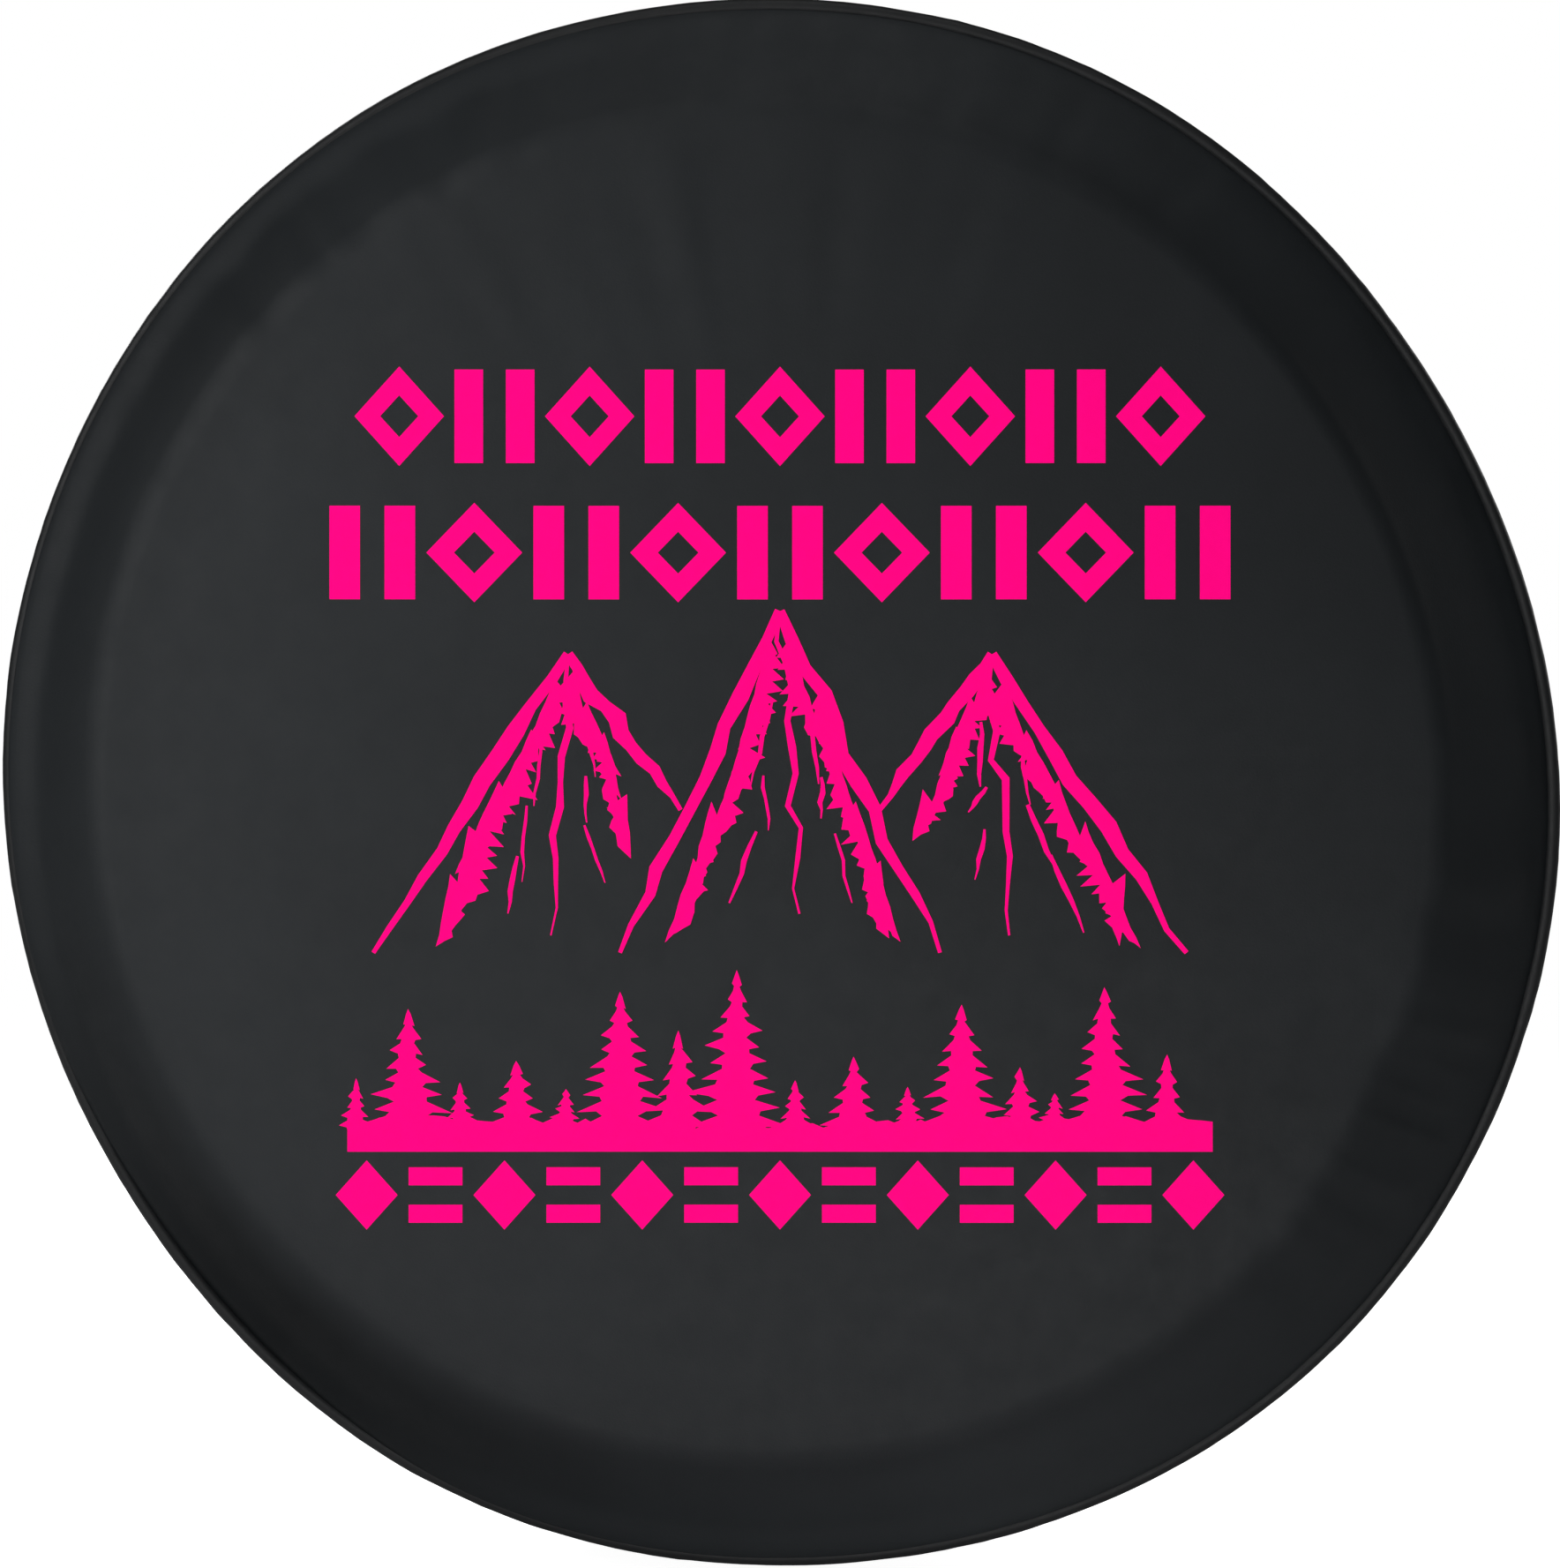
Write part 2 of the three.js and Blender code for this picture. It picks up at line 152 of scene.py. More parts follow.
def spun(name, section, turns=ROUND, closed=False):
    """The section, a list of (radius, depth), spun round the axle. It stays open unless closed is said."""
    points = [Vector((radius, depth, 0)) for radius, depth in section]
    if closed:
        points.append(points[0].copy())
    piece = point_piece(name, points[0])
    draw_on(points)
    bpy.ops.mesh.select_all(action="SELECT")
    bpy.ops.mesh.spin(steps=turns, angle=math.tau, center=(0, 0, 0), axis=(0, 1, 0))
    bpy.ops.mesh.select_all(action="SELECT")
    bpy.ops.mesh.remove_doubles(threshold=0.01 * MM)
    bpy.ops.mesh.normals_make_consistent(inside=False)
    close_up()
    return piece


def face_outwards(piece, outward):
    """Flips an open sheet if most of it looks away from outward(place)."""
    agree = sum(face.normal.dot(outward(face.center)) * face.area for face in piece.data.polygons)
    if agree < 0:
        open_up(piece)
        bpy.ops.mesh.flip_normals()
        close_up()


def from_axle(place):
    return Vector((place.x, 0, place.z)).normalized()


def arc(centre, radius, first, last, steps):
    """Points round a centre, from one angle to another, in degrees."""
    points = []
    for step in range(steps + 1):
        turn = math.radians(first + (last - first) * step / steps)
        points.append((centre[0] + radius * math.cos(turn), centre[1] + radius * math.sin(turn)))
    return points


def line(start, end, steps):
    """Points from start, which is left out, to end."""
    return [
        (start[0] + (end[0] - start[0]) * k / steps, start[1] + (end[1] - start[1]) * k / steps)
        for k in range(1, steps + 1)
    ]


def smooth_step(value, low, high):
    share = min(max((value - low) / (high - low), 0.0), 1.0)
    return share * share * (3 - 2 * share)


def bearing_of(place):
    return math.atan2(place.z, place.x)


def radius_of(place):
    return math.hypot(place.x, place.z)


def on_ring(bearing, radius, depth):
    return Vector((radius * math.cos(bearing), depth, radius * math.sin(bearing)))


def bump(angle, middle, spread):
    """1 at a bearing of middle degrees, falling to 0 a few spreads of it away."""
    away = (math.degrees(angle) - middle + 180) % 360 - 180
    return math.exp(-((away / spread) ** 2))


# ---- How the cover sits: a little out of round, with soft dents and folds ----

LOBES = ((2, 4.0, 124), (3, 1.2, 103), (4, 1.0, 64), (6, 0.8, 4))  # how many, millimetres, bearing of one


SEAM_FORWARD = ((90, 34, -3.2), (287, 38, -5.4))  # bearing, spread, millimetres
SEAM_BACK = ((224, 27, 8.0), (8, 36, 3.2), (140, 20, 1.6))


def out_of_round(bearing):
    return sum(size * MM * math.cos(lobes * (bearing - math.radians(at))) for lobes, size, at in LOBES)


def seam_pull(bearing, radius):
    """How far the seam is drawn back here. Where it comes forward, more of the slope comes with it."""
    forward = sum(pull * bump(bearing, middle, spread) for middle, spread, pull in SEAM_FORWARD)
    back = sum(pull * bump(bearing, middle, spread) for middle, spread, pull in SEAM_BACK)
    return (forward * smooth_step(radius, 0.31, 0.352) + back * smooth_step(radius, 0.326, 0.358)) * MM


def settle(piece):
    """Moves the piece's outer parts with the seam, which isn't quite round."""
    for vertex in piece.data.vertices:
        place = vertex.co
        radius = radius_of(place)
        if radius < 0.2:
            continue
        share = smooth_step(radius, 0.27, 0.345) * (1 - 0.7 * smooth_step(place.y, 0.03, 0.1))
        grown = 1 + out_of_round(bearing_of(place)) * share / radius
        place.x *= grown
        place.z *= grown
        place.y += seam_pull(bearing_of(place), radius) * (1 - smooth_step(place.y, -0.066, 0.0))
    piece.data.update()


# ---- Materials ----


class Finish:
    """A node material under way: a Principled shader, and short calls that add what feeds it."""

    def __init__(self, name, colour, roughness, metallic=0.0):
        self.material = bpy.data.materials.new(name)
        self.material.use_nodes = True
        self.nodes = self.material.node_tree.nodes
        self.links = self.material.node_tree.links
        self.shader = self.nodes["Principled BSDF"]
        self.shader.inputs["Base Color"].default_value = (*colour, 1)
        self.shader.inputs["Roughness"].default_value = roughness
        self.shader.inputs["Metallic"].default_value = metallic
        self.height = None
        self.place = self.nodes.new("ShaderNodeTexCoord").outputs["Object"]

    def set(self, **sockets):
        for name, value in sockets.items():
            self.shader.inputs[name.replace("_", " ")].default_value = value
        return self

    def link(self, start, end):
        self.links.new(start, end)

    def stretched(self, scale):
        """The place, scaled by a different amount each way."""
        mapping = self.nodes.new("ShaderNodeMapping")
        mapping.inputs["Scale"].default_value = scale
        self.link(self.place, mapping.inputs["Vector"])
        return mapping.outputs["Vector"]

    def noise(self, scale, detail=3.0, rough=0.55, at=None):
        node = self.nodes.new("ShaderNodeTexNoise")
        node.inputs["Scale"].default_value = scale
        node.inputs["Detail"].default_value = detail
        node.inputs["Roughness"].default_value = rough
        self.link(at or self.place, node.inputs["Vector"])
        return node.outputs["Fac"]

    def cells(self, scale, feature="DISTANCE_TO_EDGE", at=None):
        node = self.nodes.new("ShaderNodeTexVoronoi")
        node.feature = feature
        node.inputs["Scale"].default_value = scale
        self.link(at or self.place, node.inputs["Vector"])
        return node.outputs["Distance"]

    def waves(self, scale, direction, at=None, profile="SIN"):
        node = self.nodes.new("ShaderNodeTexWave")
        node.bands_direction = direction
        node.wave_profile = profile
        node.inputs["Scale"].default_value = scale
        self.link(at or self.place, node.inputs["Vector"])
        return node.outputs["Fac"]

    def spread(self, source, low, high, from_low=0.3, from_high=0.7):
        """The source, with its range moved to low..high."""
        node = self.nodes.new("ShaderNodeMapRange")
        node.inputs["From Min"].default_value = from_low
        node.inputs["From Max"].default_value = from_high
        node.inputs["To Min"].default_value = low
        node.inputs["To Max"].default_value = high
        self.link(source, node.inputs["Value"])
        return node.outputs["Result"]

    def times(self, first, second):
        node = self.nodes.new("ShaderNodeMath")
        node.operation = "MULTIPLY"
        self.link(first, node.inputs[0])
        self.link(second, node.inputs[1])
        return node.outputs["Value"]

    def colours(self, source, *stops):
        """The base colour runs through the stops, each (position, colour), by the source."""
        ramp = self.nodes.new("ShaderNodeValToRGB")
        elements = ramp.color_ramp.elements
        while len(elements) < len(stops):
            elements.new(0.5)
        for element, (position, colour) in zip(elements, stops):
            element.position = position
            element.color = (*colour, 1)
        self.link(source, ramp.inputs["Fac"])
        self.link(ramp.outputs["Color"], self.shader.inputs["Base Color"])
        return self

    def painted_shading_by(self, attribute, specular):
        """An attribute of the piece, 0 where nothing is painted, paints shade above 0 (a darker base colour, less
        specular) and paints light below 0 (a lighter base colour, more specular).
        """
        node = self.nodes.new("ShaderNodeAttribute")
        node.attribute_name = attribute
        painted_layer = self.nodes.new("ShaderNodeHueSaturation")
        colour = self.shader.inputs["Base Color"]
        self.link(colour.links[0].from_socket, painted_layer.inputs["Color"])
        self.link(self.spread(node.outputs["Fac"], 2, 0, -1, 1), painted_layer.inputs["Value"])
        self.link(painted_layer.outputs["Color"], colour)
        shine = self.spread(node.outputs["Fac"], 2 * specular, 0, -1, 1)
        self.link(shine, self.shader.inputs["Specular IOR Level"])
        return self

    def rough(self, source, low, high):
        self.link(self.spread(source, low, high), self.shader.inputs["Roughness"])
        return self

    def relief(self, source, depth, strength=1.0):
        """Adds a relief of that depth, in metres, on the ones before."""
        node = self.nodes.new("ShaderNodeBump")
        node.inputs["Distance"].default_value = depth
        node.inputs["Strength"].default_value = strength
        self.link(source, node.inputs["Height"])
        if self.height:
            self.link(self.height, node.inputs["Normal"])
        self.height = node.outputs["Normal"]
        self.link(self.height, self.shader.inputs["Normal"])
        return self


def black_vinyl():
    """Matte coated cloth: a fine pebble grain, slow changes of tone, and light and shade painted into its colour where
    a piece carries them.
    """
    vinyl = Finish("black_vinyl", (0.0108, 0.0133, 0.0152), 0.6)
    tone = vinyl.noise(9, 4, 0.6)
    vinyl.colours(tone, (0.3, (0.0092, 0.0115, 0.0133)), (0.7, (0.0120, 0.0149, 0.0172)))
    vinyl.rough(vinyl.noise(60, 5, 0.65), 0.56, 0.66)
    # Painted light and shade: the face's attribute darkens and lightens the colour and its specular here.
    vinyl.painted_shading_by("painted_light_shade", 0.3)
    vinyl.relief(vinyl.noise(9, 2, 0.4), 0.7 * MM, 0.5)
    vinyl.relief(vinyl.cells(620), 0.08 * MM, 0.8)
    vinyl.relief(vinyl.noise(1500, 2, 0.6), 0.05 * MM, 0.7)
    return vinyl.material


def piping_vinyl():
    """The same vinyl drawn tight round the piping, smoother and a little glossier."""
    vinyl = Finish("piping_vinyl", (0.011, 0.012, 0.013), 0.5)
    vinyl.set(Specular_IOR_Level=0.3)
    vinyl.colours(vinyl.noise(40, 4), (0.3, (0.009, 0.0098, 0.0106)), (0.7, (0.0135, 0.0145, 0.0155)))
    vinyl.rough(vinyl.noise(120, 5, 0.7), 0.46, 0.6)
    vinyl.relief(vinyl.noise(260, 4, 0.6), 0.22 * MM, 0.8)
    vinyl.relief(vinyl.cells(900), 0.04 * MM, 0.6)
    return vinyl.material


def knit_backing(name="knit_backing", dark=(0.045, 0.046, 0.048), pale=(0.075, 0.076, 0.079)):
    """Brushed knit on the vinyl's back: fine ribs and a soft nap."""
    knit = Finish(name, dark, 0.95)
    knit.set(Sheen_Weight=0.25, Sheen_Roughness=0.6)
    knit.colours(knit.noise(300, 4, 0.7), (0.3, dark), (0.7, pale))
    knit.relief(knit.waves(330, "X"), 0.12 * MM, 0.7)
    knit.relief(knit.waves(230, "Z"), 0.1 * MM, 0.5)
    knit.relief(knit.noise(1400, 3, 0.7), 0.12 * MM, 0.8)
    return knit.material


def print_ink():
    """Bright fluorescent pink print film, with a painted glow that keeps it bright however it is lit: flat and even,
    with the vinyl's grain showing faintly through.
    """
    ink = Finish("print_ink", (1.0, 0.0, 0.2159), 0.62)
    # Painted glow: the emission keeps the pink bright however it is lit.
    ink.set(Specular_IOR_Level=0.05, Emission_Color=(1.0, 0.0, 0.2159, 1), Emission_Strength=0.34)
    ink.colours(ink.noise(220, 4, 0.6), (0.25, (0.97, 0.0, 0.205)), (0.75, (1.0, 0.0, 0.2225)))
    ink.rough(ink.noise(500, 3), 0.56, 0.68)
    ink.relief(ink.cells(620), 0.02 * MM, 0.6)
    return ink.material


def bonded_thread():
    """Black bonded thread, with the twist of its plies."""
    thread = Finish("bonded_thread", (0.012, 0.012, 0.013), 0.5)
    thread.colours(thread.noise(900, 3), (0.3, (0.009, 0.009, 0.0095)), (0.7, (0.02, 0.02, 0.021)))
    thread.rough(thread.noise(1200, 2), 0.42, 0.6)
    thread.relief(thread.waves(1400, "DIAGONAL"), 0.08 * MM, 0.8)
    return thread.material


def nickel_plate():
    """Satin nickel on pressed brass, with fine turning marks and small scuffs."""
    nickel = Finish("nickel_plate", (0.58, 0.56, 0.52), 0.3, 1.0)
    nickel.colours(nickel.noise(180, 4), (0.3, (0.5, 0.48, 0.44)), (0.7, (0.64, 0.62, 0.585)))
    nickel.rough(nickel.noise(700, 5, 0.7), 0.22, 0.42)
    nickel.relief(nickel.noise(900, 3), 0.02 * MM, 0.5)
    return nickel.material


def woven_tape():
    """Black twill tape."""
    tape = Finish("woven_tape", (0.01, 0.01, 0.011), 0.9)
    tape.colours(tape.noise(500, 3), (0.3, (0.008, 0.008, 0.0085)), (0.7, (0.017, 0.017, 0.018)))
    tape.rough(tape.noise(300, 3), 0.82, 0.96)
    tape.relief(tape.waves(420, "DIAGONAL"), 0.2 * MM, 0.8)
    tape.relief(tape.waves(900, "Y"), 0.1 * MM, 0.6)
    return tape.material


def braided_elastic():
    """Elastic cord in a woven black sleeve."""
    cord = Finish("braided_elastic", (0.014, 0.014, 0.014), 0.8)
    cord.colours(cord.noise(600, 3), (0.3, (0.01, 0.01, 0.01)), (0.7, (0.024, 0.024, 0.024)))
    cord.rough(cord.noise(400, 3), 0.7, 0.9)
    cord.relief(cord.waves(520, "DIAGONAL"), 0.3 * MM, 0.8)
    return cord.material


def foam_cord():
    """Off-white extruded piping cord."""
    cord = Finish("foam_cord", (0.68, 0.66, 0.6), 0.6)
    cord.colours(cord.noise(200, 4), (0.3, (0.62, 0.6, 0.54)), (0.7, (0.72, 0.7, 0.65)))
    cord.rough(cord.noise(500, 3), 0.5, 0.7)
    cord.relief(cord.noise(800, 3), 0.05 * MM, 0.6)
    return cord.material


def woven_label():
    """White woven ribbon."""
    label = Finish("woven_label", (0.75, 0.74, 0.7), 0.75)
    label.set(Sheen_Weight=0.2, Sheen_Roughness=0.5)
    weave = label.times(label.waves(480, "Z"), label.waves(620, "X"))
    label.colours(weave, (0.0, (0.56, 0.555, 0.52)), (0.5, (0.8, 0.79, 0.755)))
    label.rough(label.noise(400, 3), 0.7, 0.84)
    label.relief(weave, 0.15 * MM, 0.8)
    return label.material


VINYL = black_vinyl()
PIPING_VINYL = piping_vinyl()
KNIT_BACK = knit_backing()
INK = print_ink()
THREAD = bonded_thread()
NICKEL = nickel_plate()
TAPE = woven_tape()
ELASTIC = braided_elastic()
FOAM = foam_cord()
LABEL_CLOTH = woven_label()


def handed_over(piece, nodes, slot, *materials, body="cover"):
    """Gives a finished piece its materials and its body, and hides the imported nodes that it stands for. The slot is
    not used.
    """
    piece.data.materials.clear()
    for material in materials:
        piece.data.materials.append(material)
    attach(piece, body)
    if nodes:
        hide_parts(*nodes)
    return piece


def smooth(piece, angle=40):
    only(piece)
    bpy.ops.object.shade_smooth_by_angle(angle=math.radians(angle))


def thicken(piece, thickness=CLOTH, lined=True):
    """Gives a sheet its thickness on the inside, with the second material as its back."""
    finish_modifier(piece, "SOLIDIFY", thickness=thickness, offset=-1, material_offset=int(lined))


# ---- The face ----

INNER_DISC = 62 * MM
FOLD_RADIUS = PIPING_RADIUS - 2.6 * MM  # the face's outermost edge, where it folds into the seam
FOLD_DEPTH = PIPING_DEPTH - 0.6 * MM


def face_section():
    """From the inner disc out over the crest, down the slope and round into the seam."""
    crest_run = CREST_BEND * math.tan(SLOPE / 2)
    bend_start = (CREST_RADIUS - crest_run, FACE_DEPTH)
    bend = arc((bend_start[0], FACE_DEPTH + CREST_BEND), CREST_BEND, -90, -90 + math.degrees(SLOPE), 8)
    fold_bend = 1.3 * MM
    fold = arc((FOLD_RADIUS - fold_bend, FOLD_DEPTH), fold_bend, -50, 60, 6)
    start = (INNER_DISC, FACE_DEPTH)
    section = [start, *line(start, bend_start, 34), *bend[1:]]
    section += line(bend[-1], fold[0], 12)
    section += fold[1:]
    section += line(fold[-1], (fold[-1][0] - 8 * MM, fold[-1][1] + 4.6 * MM), 2)
    return section


def face_relief(place):
    """How far the face's cloth stands forward here, in metres: its folds, dents and drape."""
    bearing, radius = bearing_of(place), radius_of(place)
    flat = 1 - smooth_step(radius, 0.27, 0.31)
    sag = -2.0 * MM * (1 - smooth_step(radius, 0.02, 0.28))
    slow = 1.1 * MM * noise.noise(Vector((place.x * 7, 3.1, place.z * 7))) * flat
    on_slope = smooth_step(radius, 0.302, 0.325) * (1 - smooth_step(radius, 0.345, 0.357))
    crease = noise.noise(Vector((11 * math.cos(bearing), 11 * math.sin(bearing), radius * 9)))
    fine = noise.noise(Vector((34 * math.cos(bearing), 34 * math.sin(bearing), radius * 14)))
    folded = 0.4 + 1.5 * bump(bearing, 126, 26) + 1.9 * bump(bearing, -28, 24) + 0.6 * bump(bearing, 62, 18)
    ripples = (1.5 * crease + 0.9 * fine) * MM * on_slope * folded
    draped = bump(bearing, 96, 42) * smooth_step(radius, 0.17, 0.27) * (1 - smooth_step(radius, 0.295, 0.31))
    hang = 0.9 * MM * noise.noise(Vector((bearing * 15, 1.7, radius * 6))) * draped
    crown = 0.9 * MM * bump(bearing, 185, 75) * math.exp(-(((radius - 0.306) / 0.011) ** 2))
    crease_line = -0.22 * MM * math.exp(-(((place.z - 0.012) / 0.004) ** 2)) * flat
    return sag + slow + ripples + hang + crown + crease_line


def paint_light_and_shade(piece):
    """Paints light and shade into the vinyl's colour: the flat gets painted light on its left and painted shade on its
    right (below 0 lightens), and the rim gets painted shade at its lower left, right and upper left and painted light
    at its bottom, upper right and left.
    """
    painted_layer = piece.data.attributes.new("painted_light_shade", "FLOAT", "POINT")
    for vertex, mark in zip(piece.data.vertices, painted_layer.data):
        bearing, radius = bearing_of(vertex.co), radius_of(vertex.co)
        on_rim = smooth_step(radius, 0.302, 0.335)
        # Painted light on the flat's left, painted shade on its right.
        painted_flat_shading = 0.06 + 0.22 * math.cos(bearing - math.radians(200)) * min(1, radius / 0.28)
        # Painted shade on the rim at its lower left, right and upper left; the next line takes it down into painted
        # light at its bottom, upper right and left.
        painted_light_shade = 0.55 * bump(bearing, 227, 25) + 0.14 * bump(bearing, 350, 36) + 0.08 * bump(bearing, 145, 24)
        painted_light_shade -= 0.3 * bump(bearing, 280, 26) + 0.14 * bump(bearing, 58, 26) + 0.08 * bump(bearing, 180, 14)
        mark.value = painted_light_shade * on_rim - painted_flat_shading * (1 - on_rim)


def lean_crest(place):
    """The crest sits a few millimetres up and to the left of the seam's middle."""
    share = smooth_step(radius_of(place), 0.1, 0.3) * (1 - smooth_step(radius_of(place), 0.318, 0.355))
    return Vector((-6.0 * MM * share, 0, -0.5 * MM * share))


def make_face():
    face = spun("face_cloth", face_section())
    open_up(face)
    pick(face, lambda place: radius_of(place) < INNER_DISC + MM / 2)
    bpy.ops.mesh.fill_grid(span=ROUND // 4)
    close_up()
    face_outwards(face, lambda place: Vector((0, -1, 0)))
    settle(face)
    for vertex in face.data.vertices:
        place = vertex.co
        bearing = bearing_of(place)
        lip = smooth_step(radius_of(place) - out_of_round(bearing), 0.346, 0.3585) * smooth_step(-place.y, 0.077, 0.083)
        tucked = 1.35 * MM * (1 + math.cos(bearing - math.radians(205))) * lip
        place.y -= face_relief(place) + tucked
        place += lean_crest(place) + from_axle(place) * tucked
    thicken(face)
    paint_light_and_shade(face)
    smooth(face, 60)
    handed_over(face, ["face_panel"], "vinyl", VINYL, KNIT_BACK)
    return face


def make_lining():
    """The knit lining behind the face."""
    behind = FACE_DEPTH + CLOTH + 0.5 * MM
    crest_run = CREST_BEND * math.tan(SLOPE / 2)
    start = (INNER_DISC, behind)
    bend_start = (CREST_RADIUS - crest_run - 1.5 * MM, behind)
    bend = arc((bend_start[0], behind + CREST_BEND), CREST_BEND, -90, -90 + math.degrees(SLOPE), 6)
    lining = spun(
        "face_lining_cloth",
        [start, *line(start, bend_start, 20), *bend[1:], *line(bend[-1], (0.333, behind + 13.6 * MM), 3)],
        turns=192,
    )
    open_up(lining)
    pick(lining, lambda place: radius_of(place) < INNER_DISC + MM / 2)
    bpy.ops.mesh.fill_grid(span=48)
    close_up()
    face_outwards(lining, lambda place: Vector((0, -1, 0)))
    settle(lining)
    for vertex in lining.data.vertices:
        vertex.co.y -= face_relief(vertex.co)
        vertex.co += lean_crest(vertex.co)
    thicken(lining, KNIT, lined=False)
    smooth(lining)
    handed_over(lining, ["face_lining"], "knit_backing", KNIT_BACK)


# ---- The piping ----


def make_piping():
    """The strip folded round its cord, its tails in the seam, with the puckers that a tight curve gives it."""
    lean = 150
    mouth = 21
    loop = arc((PIPING_RADIUS, PIPING_DEPTH), WRAP, lean - mouth, lean + mouth - 360, 18)
    back = Vector((math.cos(math.radians(lean)), math.sin(math.radians(lean))))
    tail = 9 * MM
    tails = [
        (loop[-1][0] + back.x * tail, loop[-1][1] + back.y * tail),
        (loop[0][0] + back.x * tail, loop[0][1] + back.y * tail),
    ]
    wrap = spun("piping_wrap_cloth", [tails[1], *loop, *line(loop[-1], tails[0], 2)])
    face_outwards(wrap, lambda place: place - on_ring(bearing_of(place), PIPING_RADIUS, PIPING_DEPTH))
    for vertex in wrap.data.vertices:
        place = vertex.co
        bearing = bearing_of(place)
        middle = on_ring(bearing, PIPING_RADIUS, PIPING_DEPTH)
        out = place - middle
        pucker = noise.noise(Vector((46 * math.cos(bearing), 46 * math.sin(bearing), out.y * 260)))
        lump = noise.noise(Vector((9 * math.cos(bearing), 9 * math.sin(bearing), 7)))
        place += out.normalized() * (0.22 * pucker + 0.3 * lump) * MM
    settle(wrap)
    thicken(wrap, lined=False)
    smooth(wrap, 70)
    handed_over(wrap, ["piping_wrap"], "vinyl", PIPING_VINYL)

    cord = spun("piping_cord", arc((PIPING_RADIUS, PIPING_DEPTH), 1.9 * MM, 0, 330, 11), turns=192, closed=True)
    settle(cord)
    smooth(cord, 70)
    handed_over(cord, ["piping_core"], "piping_cord", FOAM)


# ---- The band and the return, drawn in behind the tyre by cloth simulation ----

STRIP_PAST_SHOULDER = 114 * MM
FREE_FROM = 62 * MM  # the band lies still on the tread in front of this depth
HEM_EDGE_RADIUS = 256.5 * MM
DRAWN_IN_FRAME = 26
LAST_FRAME = 42
SEAM_EDGE = (PIPING_RADIUS - 10.2 * MM, PIPING_DEPTH + 9.2 * MM)
BAND_FOLD = (PIPING_RADIUS - 1.9 * MM, PIPING_DEPTH + 3.4 * MM)
PLEATS = 84


def gather(bearing):
    """The wave of the gathers at the hem, from -1 to 1, unevenly spaced as gathers are."""
    return math.sin(PLEATS * bearing + 1.3 * math.sin(5 * bearing) + 0.8 * math.sin(11 * bearing + 1))


def tyre_form():
    """The tyre that the cloth is drawn over. It is taken away again."""
    section = [(190, -98), (235, -108), (285, -111), (330, -98), (352, -80), (359.6, -66), (359.6, 70)]
    section += [(353, 88), (336, 102), (310, 110), (285, 112), (250, 108), (215, 102), (190, 95)]
    form = spun("tyre_form", [(radius * MM, depth * MM) for radius, depth in section], turns=128)
    bpy.ops.object.modifier_add(type="COLLISION")
    form.collision.thickness_outer = MM
    form.collision.cloth_friction = 5
    return form


def draw_in(strip, rear):
    """Pulls the strip's rear edge in to the hem, and keeps the gathers that form."""
    form = tyre_form()
    only(strip)
    held = strip.vertex_groups.new(name="held")
    for vertex in strip.data.vertices:
        place = vertex.co
        if place.y < FREE_FROM or place.y > rear - MM / 2:
            held.add([vertex.index], 1.0, "REPLACE")
        else:
            uneven = noise.noise(Vector((place.x * 26, place.y * 8, place.z * 26)))
            grown = 1 + 0.004 * uneven * smooth_step(place.y, FREE_FROM, FREE_FROM + 0.05)
            place.x *= grown
            place.z *= grown
    strip.shape_key_add(name="straight")
    drawn = strip.shape_key_add(name="drawn_in")
    for vertex in strip.data.vertices:
        if vertex.co.y > rear - MM / 2:
            bearing = bearing_of(vertex.co)
            edge = on_ring(bearing, HEM_EDGE_RADIUS, HEM_DEPTH + 1.6 * MM * gather(bearing))
            drawn.data[vertex.index].co = edge
    drawn.value = 0
    drawn.keyframe_insert("value", frame=1)
    drawn.value = 1
    drawn.keyframe_insert("value", frame=DRAWN_IN_FRAME)
    bpy.ops.object.modifier_add(type="CLOTH")
    cloth = strip.modifiers[-1]
    cloth.settings.quality = 6
    cloth.settings.mass = 0.3
    cloth.settings.vertex_group_mass = "held"
    cloth.settings.tension_stiffness = 30
    cloth.settings.compression_stiffness = 30
    cloth.settings.shear_stiffness = 8
    cloth.settings.bending_stiffness = 6
    cloth.settings.tension_damping = 8
    cloth.settings.compression_damping = 8
    cloth.settings.air_damping = 4
    cloth.settings.effector_weights.gravity = 0.1
    cloth.collision_settings.distance_min = 1.2 * MM
    cloth.collision_settings.use_self_collision = False
    cloth.point_cache.frame_start = 1
    cloth.point_cache.frame_end = LAST_FRAME
    for moment in range(1, LAST_FRAME + 1):
        bpy.context.scene.frame_set(moment)
    only(strip)
    bpy.ops.object.convert(target="MESH")
    bpy.context.scene.frame_set(1)
    bpy.data.objects.remove(form)


EYELETS = {
    "lock_left": {"nodes": "lock_{}_left", "bore": 5.0, "flange": 9.5, "stack": 2.3},
    "lock_right": {"nodes": "lock_{}_right", "bore": 5.0, "flange": 9.5, "stack": 2.3},
    "drain_front": {"nodes": "drain_{}_front", "bore": 4.0, "flange": 8.0, "stack": 1.0},
    "drain_rear": {"nodes": "drain_{}_rear", "bore": 4.0, "flange": 8.0, "stack": 1.0},
}


def eyelet_middle(name):
    low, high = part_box(EYELETS[name]["nodes"].format("eyelet"))
    return (low + high) / 2


def flatten_round_eyelets(cloth):
    """The cloth lies flat round each eyelet: in the return's plane, or on the band's bottom."""
    for name in EYELETS:
        middle = eyelet_middle(name)
        for vertex in cloth.data.vertices:
            place = vertex.co
            if name.startswith("lock") and place.y > 0.08:
                near = 1 - smooth_step(math.hypot(place.x - middle.x, place.z - middle.z), 0.019, 0.04)
                place.y += (RETURN_DEPTH - place.y) * near
            elif name.startswith("drain") and place.z < -0.3:
                near = 1 - smooth_step(math.hypot(place.x - middle.x, place.y - middle.y), 0.012, 0.026)
                place.z += (-BAND_RADIUS * FACET - place.z) * near


